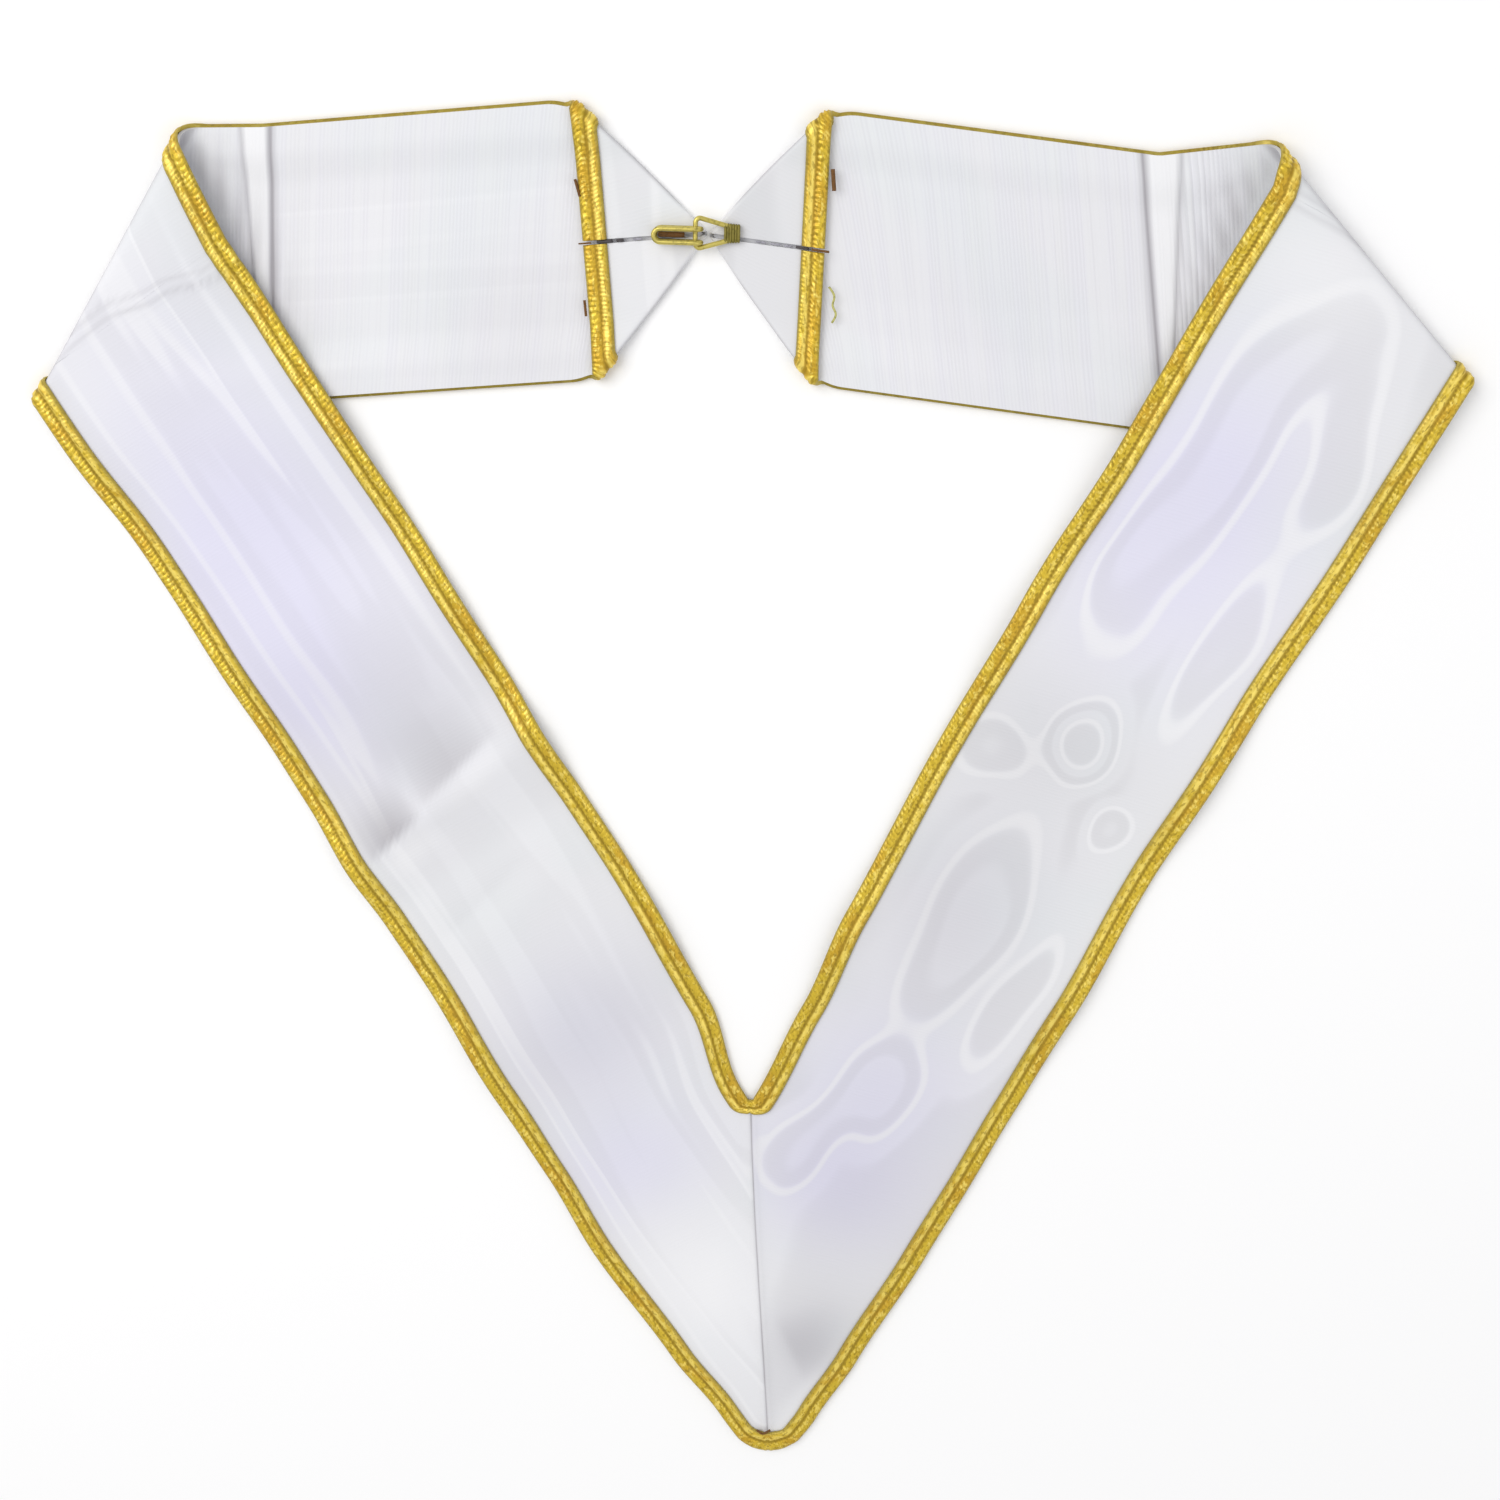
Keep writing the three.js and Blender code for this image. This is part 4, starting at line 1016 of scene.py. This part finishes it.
def braidSection(across, along):
    # height of the braid above the cloth as a share of its full height, then how near it is to the
    # crest of a strand, to the narrow ridge, to the rim and to the cleft between the ridges, which its
    # colour turns into painted highlights and painted shade
    groove = plait["groove"]
    onWide = across < groove
    wide = np.clip(across / groove, 0, 1)
    fine = np.clip((across - groove) / (1 - groove), 0, 1)
    dome = np.where(onWide, np.sin(math.pi * wide) ** plait["dome"],
                    plait["fineHeight"] * np.sin(math.pi * fine) ** plait["fineDome"])
    lean = np.abs(wide - 0.5) * plait["slant"]
    loose = looseness["slow"] * np.sin(along / looseness["slowRun"]) \
        + looseness["quick"] * np.sin(along / looseness["quickRun"] + looseness["quickAcross"] * across)
    (firstAlong, nextAlong), (firstAcross, nextAcross) = looseness["lumpAlong"], looseness["lumpAcross"]
    lump = np.sin(firstAlong * along + firstAcross * across) \
        * np.sin(nextAlong * along - nextAcross * across + looseness["lumpStart"])
    strand = 0.5 + 0.5 * np.cos(2 * math.pi * (along / plait["pitch"] - lean + loose))
    fineStrand = 0.5 + 0.5 * np.cos(2 * math.pi * (along / plait["finePitch"] + plait["fineSlant"] * fine))
    relief = np.where(onWide, plait["relief"] * (1 - strand ** plait["strandEdge"]),
                      plait["fineRelief"] * (1 - fineStrand))
    low = relief + looseness["lumps"] * (0.5 - 0.5 * lump)
    near = np.where(onWide, crestOf["wide"] + crestOf["wideStrand"] * strand,
                    crestOf["fine"] + crestOf["fineStrand"] * fineStrand)
    ridge = smooth((across - groove - ridgeOf["start"]) / ridgeOf["rise"]) \
        * smooth((ridgeOf["end"] - across) / ridgeOf["fall"])
    return {
        "height": plait["foot"] + (1 - plait["foot"] - low) * dome,
        "crest": np.clip(dome * (near + crestOf["lump"] * lump), 0, 1),
        "ridge": ridge,
        "rim": 1 - smooth(np.minimum(across / plait["rim"], (1 - across) / plait["innerRim"])),
        "cleft": bell(across - groove, plait["cleft"]),
    }


def makeBraid(name, node, inner):
    width, columns = braid["width"], plait["columns"]
    shares = np.linspace(0, 1, columns)
    q = ribbon["width"] - shares * width if inner else shares * width
    below = ribbon["wall"] / 2 + ribbon["layerGap"]
    halves = [(side, startAlong(side, q, 0.0), cutEnd(side, q)) for side in frames.values()]
    count = int(max(end.max() for _, _, end in halves) / plait["step"])
    # a closed section: the ridged top, then the flat underside back to the first corner
    bm, column, row = flatGrid(2 * count + 1, columns + 2)
    step = column - count
    points, flat = np.zeros((len(row), 3)), np.zeros((len(row), 2))
    shades = {key: np.zeros(len(row)) for key in braidShades}
    # the underside, which shows at the braid's sides, takes painted shade: a lower crest and the rim's dark
    # edge
    underside = {"crest": plait["sideCrest"], "ridge": 0, "rim": plait["under"], "cleft": 0}
    for mine, (side, start, end) in zip((step < 0, step >= 0), halves):
        onTop = (row[mine] >= 1) & (row[mine] <= columns)
        index = np.clip(row[mine] - 1, 0, columns - 1)
        along = mix(start[index], end[index], np.abs(step[mine]) / count)
        section = braidSection(shares[index], along)
        lift = below + np.where(onTop, section["height"] * braid["height"], 0.0)
        points[mine] = layRibbon(side, along, q[index], lift)
        flat[mine] = np.stack([along, shares[index] * width], -1) * mm
        section["crest"] = np.maximum(section["crest"], plait["rimCrest"] * section["rim"])
        for key in braidShades:
            shades[key][mine] = np.where(onTop, section[key], underside[key])
    carry(bm, points, flat, shades)
    openEdges = [edge for edge in bm.edges if edge.is_boundary]
    bmesh.ops.bridge_loops(bm, edges=sideEdges(openEdges, row))
    closeUp(bm)
    return finishPiece(bm, name, [braidMaterial], [node])


def sideEdges(edges, row):
    # the two long open edges of a strip
    ends = {row.min(), row.max()}
    return [edge for edge in edges if row[edge.verts[0].index] == row[edge.verts[1].index]
            and row[edge.verts[0].index] in ends]


braidMaterial = goldBraidMaterial()
braids = [makeBraid("outerPlait", "outer_braid", False), makeBraid("innerPlait", "inner_braid", True)]
print("braid made")

# the clasp

clasp = {"wire": 0.9, "gap": 0.3, "hookLength": 19, "hookWidth": 6.6, "eyeLength": 17, "eyeWidth": 12.4,
         "eyeNose": 2.1, "eyeCorner": 1.6, "eyeAside": 1.0, "steps": 96, "arcSteps": 24, "sidesRound": 12,
         "nearUpright": 0.2}
ends = []
for side in frames.values():
    tip = side["tuckCentre"] + side["neck"] * side["tip"] + side["neckAcross"] * side["neckMiddle"]
    ends.append((tip[0] * side["sign"], tip[1], math.atan2(side["neck"][1], -side["neck"][0])))
claspLean = (ends[0][2] - ends[1][2]) / 2
barOffset = clasp["eyeLength"] / 2 - clasp["wire"] - clasp["hookWidth"] / 2
claspAt = np.array([(ends[0][0] + ends[1][0]) / 2 - barOffset, (ends[0][1] + ends[1][1]) / 2])
lowWire = clothRest + 2 * hemRadius + ribbon["wall"] / 2 + ribbon["layerGap"] + clasp["wire"]
wirePitch = 2 * clasp["wire"] + clasp["gap"]


def pathPoints(corners):
    # evenly spaced points along a loop of arcs, given as (centre, radius, start angle, end angle), and
    # the lines that join them
    points = []
    for centreX, centreY, radius, start, end in corners:
        for angle in np.linspace(start, end, clasp["arcSteps"]):
            points.append((centreX + radius * math.cos(angle), centreY + radius * math.sin(angle)))
    points = np.array(points + points[:1])
    run = np.concatenate([[0], np.cumsum(np.linalg.norm(np.diff(points, axis=0), axis=1))])
    at = np.linspace(0, run[-1], clasp["steps"], endpoint=False)
    return np.stack([np.interp(at, run, points[:, k]) for k in range(2)], -1)


def hookPath():
    bend, side = wirePitch, clasp["hookWidth"] / 2 - clasp["wire"]
    reach = clasp["hookLength"] - 2 * clasp["wire"] - bend + math.pi * bend / 2
    flat = pathPoints([(reach - side, 0, side, -math.pi / 2, math.pi / 2),
                       (-reach + side, 0, side, math.pi / 2, 1.5 * math.pi)])
    angle = np.clip(flat[:, 0] / bend, -math.pi / 2, math.pi / 2)
    straight = np.maximum(np.abs(flat[:, 0]) - math.pi * bend / 2, 0)
    return np.stack([bend * np.cos(angle) - straight, flat[:, 1],
                     lowWire + wirePitch + bend * np.sin(angle)], -1)


def eyePath():
    length, side = clasp["eyeLength"] - 2 * clasp["wire"], clasp["eyeWidth"] / 2 - clasp["wire"]
    nose, corner = clasp["eyeNose"], clasp["eyeCorner"]
    opening = math.asin((side - nose) / math.hypot(length - nose - corner, side))
    lean = math.pi / 2 - opening
    flat = pathPoints([(corner, -side + corner, corner, math.pi, 1.5 * math.pi + opening),
                       (length - nose, 0, nose, -lean, lean),
                       (corner, side - corner, corner, lean, math.pi)])
    height = lowWire + wirePitch * (1 - flat[:, 0] / length)
    return np.stack([flat[:, 0], flat[:, 1] + clasp["eyeAside"], height], -1)


def wireLoop(path, radius, sidesRound, closed):
    # a tube on a path: a grid carried round it, its open sides joined
    count = len(path)
    bm, column, row = flatGrid(count + (1 if closed else 0), sidesRound + 1)
    before, after = np.roll(path, 1, axis=0), np.roll(path, -1, axis=0)
    if not closed:
        before[0], after[-1] = path[0], path[-1]
    tangent = after - before
    tangent /= np.linalg.norm(tangent, axis=1)[:, None]
    across = np.cross(tangent, (0.0, 0.0, 1.0))
    upright = np.linalg.norm(across, axis=1) < clasp["nearUpright"]
    across[upright] = (0.0, 1.0, 0.0)
    across /= np.linalg.norm(across, axis=1)[:, None]
    up = np.cross(across, tangent)
    index, angle = column % count, 2 * math.pi * (row % sidesRound) / sidesRound
    outward = np.cos(angle)[:, None] * across[index] + np.sin(angle)[:, None] * up[index]
    return bm, path[index] + radius * outward


def placeOnClasp(points):
    c, s = math.cos(claspLean), math.sin(claspLean)
    x = points[:, 0] * c - points[:, 1] * s + claspAt[0]
    y = points[:, 0] * s + points[:, 1] * c + claspAt[1]
    return np.stack([x, y, points[:, 2]], -1)


def makeWire(name, path, node):
    bm, points = wireLoop(path, clasp["wire"], clasp["sidesRound"], True)
    moveTo(bm, placeOnClasp(points))
    closeUp(bm)
    return finishPiece(bm, name, [giltWire], [node])


giltWire = plainMaterial("giltWire", colour=(0.62, 0.52, 0.13, 1), metallic=0.7, roughness=0.25, grain=700)
makeWire("hookWire", hookPath(), "clasp_hook")
makeWire("eyeWire", eyePath(), "clasp_eye")
print("clasp made")

# the sewing

threads = {
    "dark": {"colour": (0.075, 0.066, 0.070, 1), "metallic": 0.0, "roughness": 0.6, "grain": 900},
    "grey": {"colour": (0.36, 0.35, 0.40, 1), "metallic": 0.0, "roughness": 0.6, "grain": 900},
    "brown": {"colour": (0.16, 0.065, 0.008, 1), "metallic": 0.0, "roughness": 0.6, "grain": 900},
    "olive": {"colour": (0.24, 0.20, 0.030, 1), "metallic": 0.2, "roughness": 0.5, "grain": 900},
    "green": {"colour": (0.52, 0.50, 0.16, 1), "metallic": 0.0, "roughness": 0.6, "grain": 900},
}
# stitches on the line where the folded ends meet: distances back from each point, and how high those
# lie that cross the braid
stitches = [
    {"side": "left", "start": 23.4, "end": 26.6, "radius": 0.40, "thread": "grey"},
    {"side": "left", "start": 30.2, "end": 32.6, "radius": 0.60, "thread": "dark"},
    {"side": "left", "start": 34.2, "end": 40.0, "radius": 0.62, "thread": "dark"},
    {"side": "left", "start": 42.0, "end": 46.6, "radius": 0.30, "thread": "brown", "raise": 1.8},
    {"side": "right", "start": 17.0, "end": 20.6, "radius": 0.34, "thread": "grey"},
    {"side": "right", "start": 22.2, "end": 25.6, "radius": 0.34, "thread": "grey"},
    {"side": "right", "start": 27.2, "end": 30.2, "radius": 0.34, "thread": "grey"},
    {"side": "right", "start": 31.6, "end": 36.4, "radius": 0.48, "thread": "dark"},
    {"side": "right", "start": 37.4, "end": 43.8, "radius": 0.42, "thread": "brown", "raise": 1.8},
]
# thread ends and tacks beside the braid, on the pattern's own plan
tacks = [
    {"path": [(37.3, 580.2, 4.6), (37.7, 572.6, 4.6)], "radius": 0.75, "thread": "brown"},
    {"path": [(-56.0, 578.6, 4.6), (-54.6, 572.6, 4.4)], "radius": 0.55, "thread": "brown"},
    {"path": [(-54.8, 535.4, 4.4), (-54.5, 529.6, 4.4)], "radius": 0.50, "thread": "brown"},
    {"path": [(-3.2, 41.2, 3.0), (-0.6, 39.4, 3.3), (2.7, 41.4, 3.0)], "radius": 0.50, "thread": "brown"},
    {"path": [(35.3, 538.6, 3.4), (37.9, 535.2, 4.0), (36.0, 531.8, 3.6), (38.4, 528.8, 3.9),
              (36.2, 525.6, 3.4)], "radius": 0.42, "thread": "green"},
]
sewing = {"steps": 11, "raise": 0.1, "hump": 0.3, "tackSteps": 15, "sidesRound": 8}
# turns of thread round the eye's nose, squared to lie flat on it, and the thread inside the hook
wraps = {"turns": 6, "first": 0.4, "pitch": 0.95, "clear": 0.75, "widen": 1.3, "high": 1.15, "raise": 0.2,
         "squareness": 0.6, "steps": 28, "radius": 0.5}
hookThread = {"shares": (0.22, 0.45, 0.72), "raise": 0.2, "radius": 0.95}
flapTop = clothRest + 2 * hemRadius + ribbon["wall"] / 2


def onCentreLine(side, back, height):
    # a place on the line where a folded end's two edges meet, back from its point
    x = side["tip"] - back
    place = side["tuckCentre"] + side["neck"] * x + side["neckAcross"] * side["neckMiddle"]
    return np.array([place[0] * side["sign"], place[1], height])


def throughPoints(points, steps):
    # evenly stepped places along a soft line through points
    points = np.array(points)
    at, fine = np.arange(len(points)), np.linspace(0, len(points) - 1, steps)
    line = np.stack([np.interp(fine, at, points[:, k]) for k in range(3)], -1)
    for _ in range(3):
        line[1:-1] = (line[:-2] + 2 * line[1:-1] + line[2:]) / 4
    return line


def stitchPath(row):
    side = frames[row["side"]]
    share = np.linspace(0, 1, sewing["steps"])
    height = flapTop + row.get("raise", sewing["raise"]) + sewing["hump"] * np.sin(math.pi * share)
    back = mix(row["start"], row["end"], share)
    return np.array([onCentreLine(side, away, z) for away, z in zip(back, height)])


def wrapPaths():
    angle = np.linspace(0, 2 * math.pi, wraps["steps"], endpoint=False)
    circle = np.stack([np.cos(angle), np.sin(angle)])
    squared = np.abs(circle) ** wraps["squareness"] * np.sign(circle)
    nose, paths = clasp["eyeLength"] - 2 * clasp["wire"], []
    for turn in range(wraps["turns"]):
        back = turn * wraps["pitch"] - wraps["first"]
        halfWide = clasp["eyeNose"] + wraps["clear"] + wraps["widen"] * max(back / clasp["eyeLength"], 0)
        path = np.stack([np.full(wraps["steps"], nose - back), clasp["eyeAside"] + halfWide * squared[0],
                         lowWire + wraps["raise"] + wraps["high"] * squared[1]], -1)
        paths.append(placeOnClasp(path))
    return paths


def makeThreads(name, tubes, material):
    # one piece from several threads, each a path with its radius
    bm = bmesh.new()
    for path, radius, closed in tubes:
        part, points = wireLoop(path, radius, sewing["sidesRound"], closed)
        moveTo(part, points)
        closeUp(part)
        holder = bpy.data.meshes.new(name)
        part.to_mesh(holder)
        part.free()
        bm.from_mesh(holder)
        bpy.data.meshes.remove(holder)
    return finishPiece(bm, name, [material], [])


for colour, look in threads.items():
    tubes = [(stitchPath(row), row["radius"], False) for row in stitches if row["thread"] == colour]
    tubes += [(throughPoints(row["path"], sewing["tackSteps"]), row["radius"], False)
              for row in tacks if row["thread"] == colour]
    if colour == "olive":
        tubes += [(path, wraps["radius"], True) for path in wrapPaths()]
    if colour == "brown":
        inHook = [(-clasp["hookLength"] * share, 0.0, lowWire + hookThread["raise"])
                  for share in hookThread["shares"]]
        tubes.append((placeOnClasp(throughPoints(inHook, sewing["steps"])), hookThread["radius"], False))
    makeThreads(colour + "Sewing", tubes, plainMaterial(colour + "Thread", **look))
print("sewing made")

# the lengths of ribbon each sheet spans, worked out for each sheet and not used further

sheetSteps = 41
for key, piece in clothPieces.items():
    side = frames[key.split("_")[1]]
    q = acrossCloth(sheetSteps)
    start, end = seamAlong(side, q), cutEnd(side, q)
    if key.startswith("front"):
        start, end = startAlong(side, q, ribbon["seamGap"] / 2), start

# floor, camera and light

floorData = {"size": 8.0, "drop": 0.0002, "colour": (0.98, 0.98, 0.98, 1), "roughness": 0.95}
bm = bmesh.new()
bmesh.ops.create_grid(bm, x_segments=1, y_segments=1, size=floorData["size"] / 2)
floorMesh = bpy.data.meshes.new("floor")
bm.to_mesh(floorMesh)
bm.free()
floor = bpy.data.objects.new("floor", floorMesh)
floor.location.z = -floorData["drop"]
bpy.context.scene.collection.objects.link(floor)
floorMaterial, floorTree, floorShader = newMaterial("paleFloor")
feed(floorTree, floorShader, {"Base Color": floorData["colour"], "Roughness": floorData["roughness"],
                              "Specular IOR Level": 0.0})
floorMesh.materials.append(floorMaterial)

view = {"place": (65.27, 628.65, 787.7), "turn": (-13.27, -19.40, 12.51), "focal": 2111.7, "picture": 1500,
        "sensor": 36, "clip": (0.02, 20)}
camera = bpy.data.objects.new("camera", bpy.data.cameras.new("camera"))
bpy.context.scene.collection.objects.link(camera)
camera.data.sensor_width = view["sensor"]
camera.data.lens = view["focal"] * view["sensor"] / view["picture"]
camera.data.clip_start, camera.data.clip_end = view["clip"]
spin, nod, roll = (math.radians(angle) for angle in view["turn"])
turn = Matrix.Rotation(spin, 4, "Z") @ Matrix.Rotation(nod, 4, "X") @ Matrix.Rotation(roll, 4, "Z")
camera.matrix_world = Matrix.Translation(Vector(toFrame(np.array(view["place"])))) @ turn
bpy.context.scene.camera = camera

lamps = [
    {"name": "keyLamp", "place": (-0.9, 0.9, 1.6), "size": 1.4, "power": 20, "colour": (1.0, 0.99, 0.975)},
    {"name": "fillLamp", "place": (1.3, -0.4, 1.8), "size": 2.0, "power": 8, "colour": (0.975, 0.98, 1.0)},
]
for lamp in lamps:
    light = bpy.data.lights.new(lamp["name"], "AREA")
    light.size, light.energy, light.color = lamp["size"], lamp["power"], lamp["colour"]
    shown = bpy.data.objects.new(lamp["name"], light)
    shown.location = lamp["place"]
    shown.rotation_mode = "QUATERNION"
    shown.rotation_quaternion = (-Vector(lamp["place"])).to_track_quat("-Z", "Y")
    bpy.context.scene.collection.objects.link(shown)
room = {"Color": (0.99, 0.99, 1.0, 1), "Strength": 0.62}
world = bpy.data.worlds.new("room")
world.use_nodes = True
feed(world.node_tree, world.node_tree.nodes["Background"], room)
bpy.context.scene.world = world
bpy.context.scene.view_settings.view_transform = "Standard"

print("scene ready")
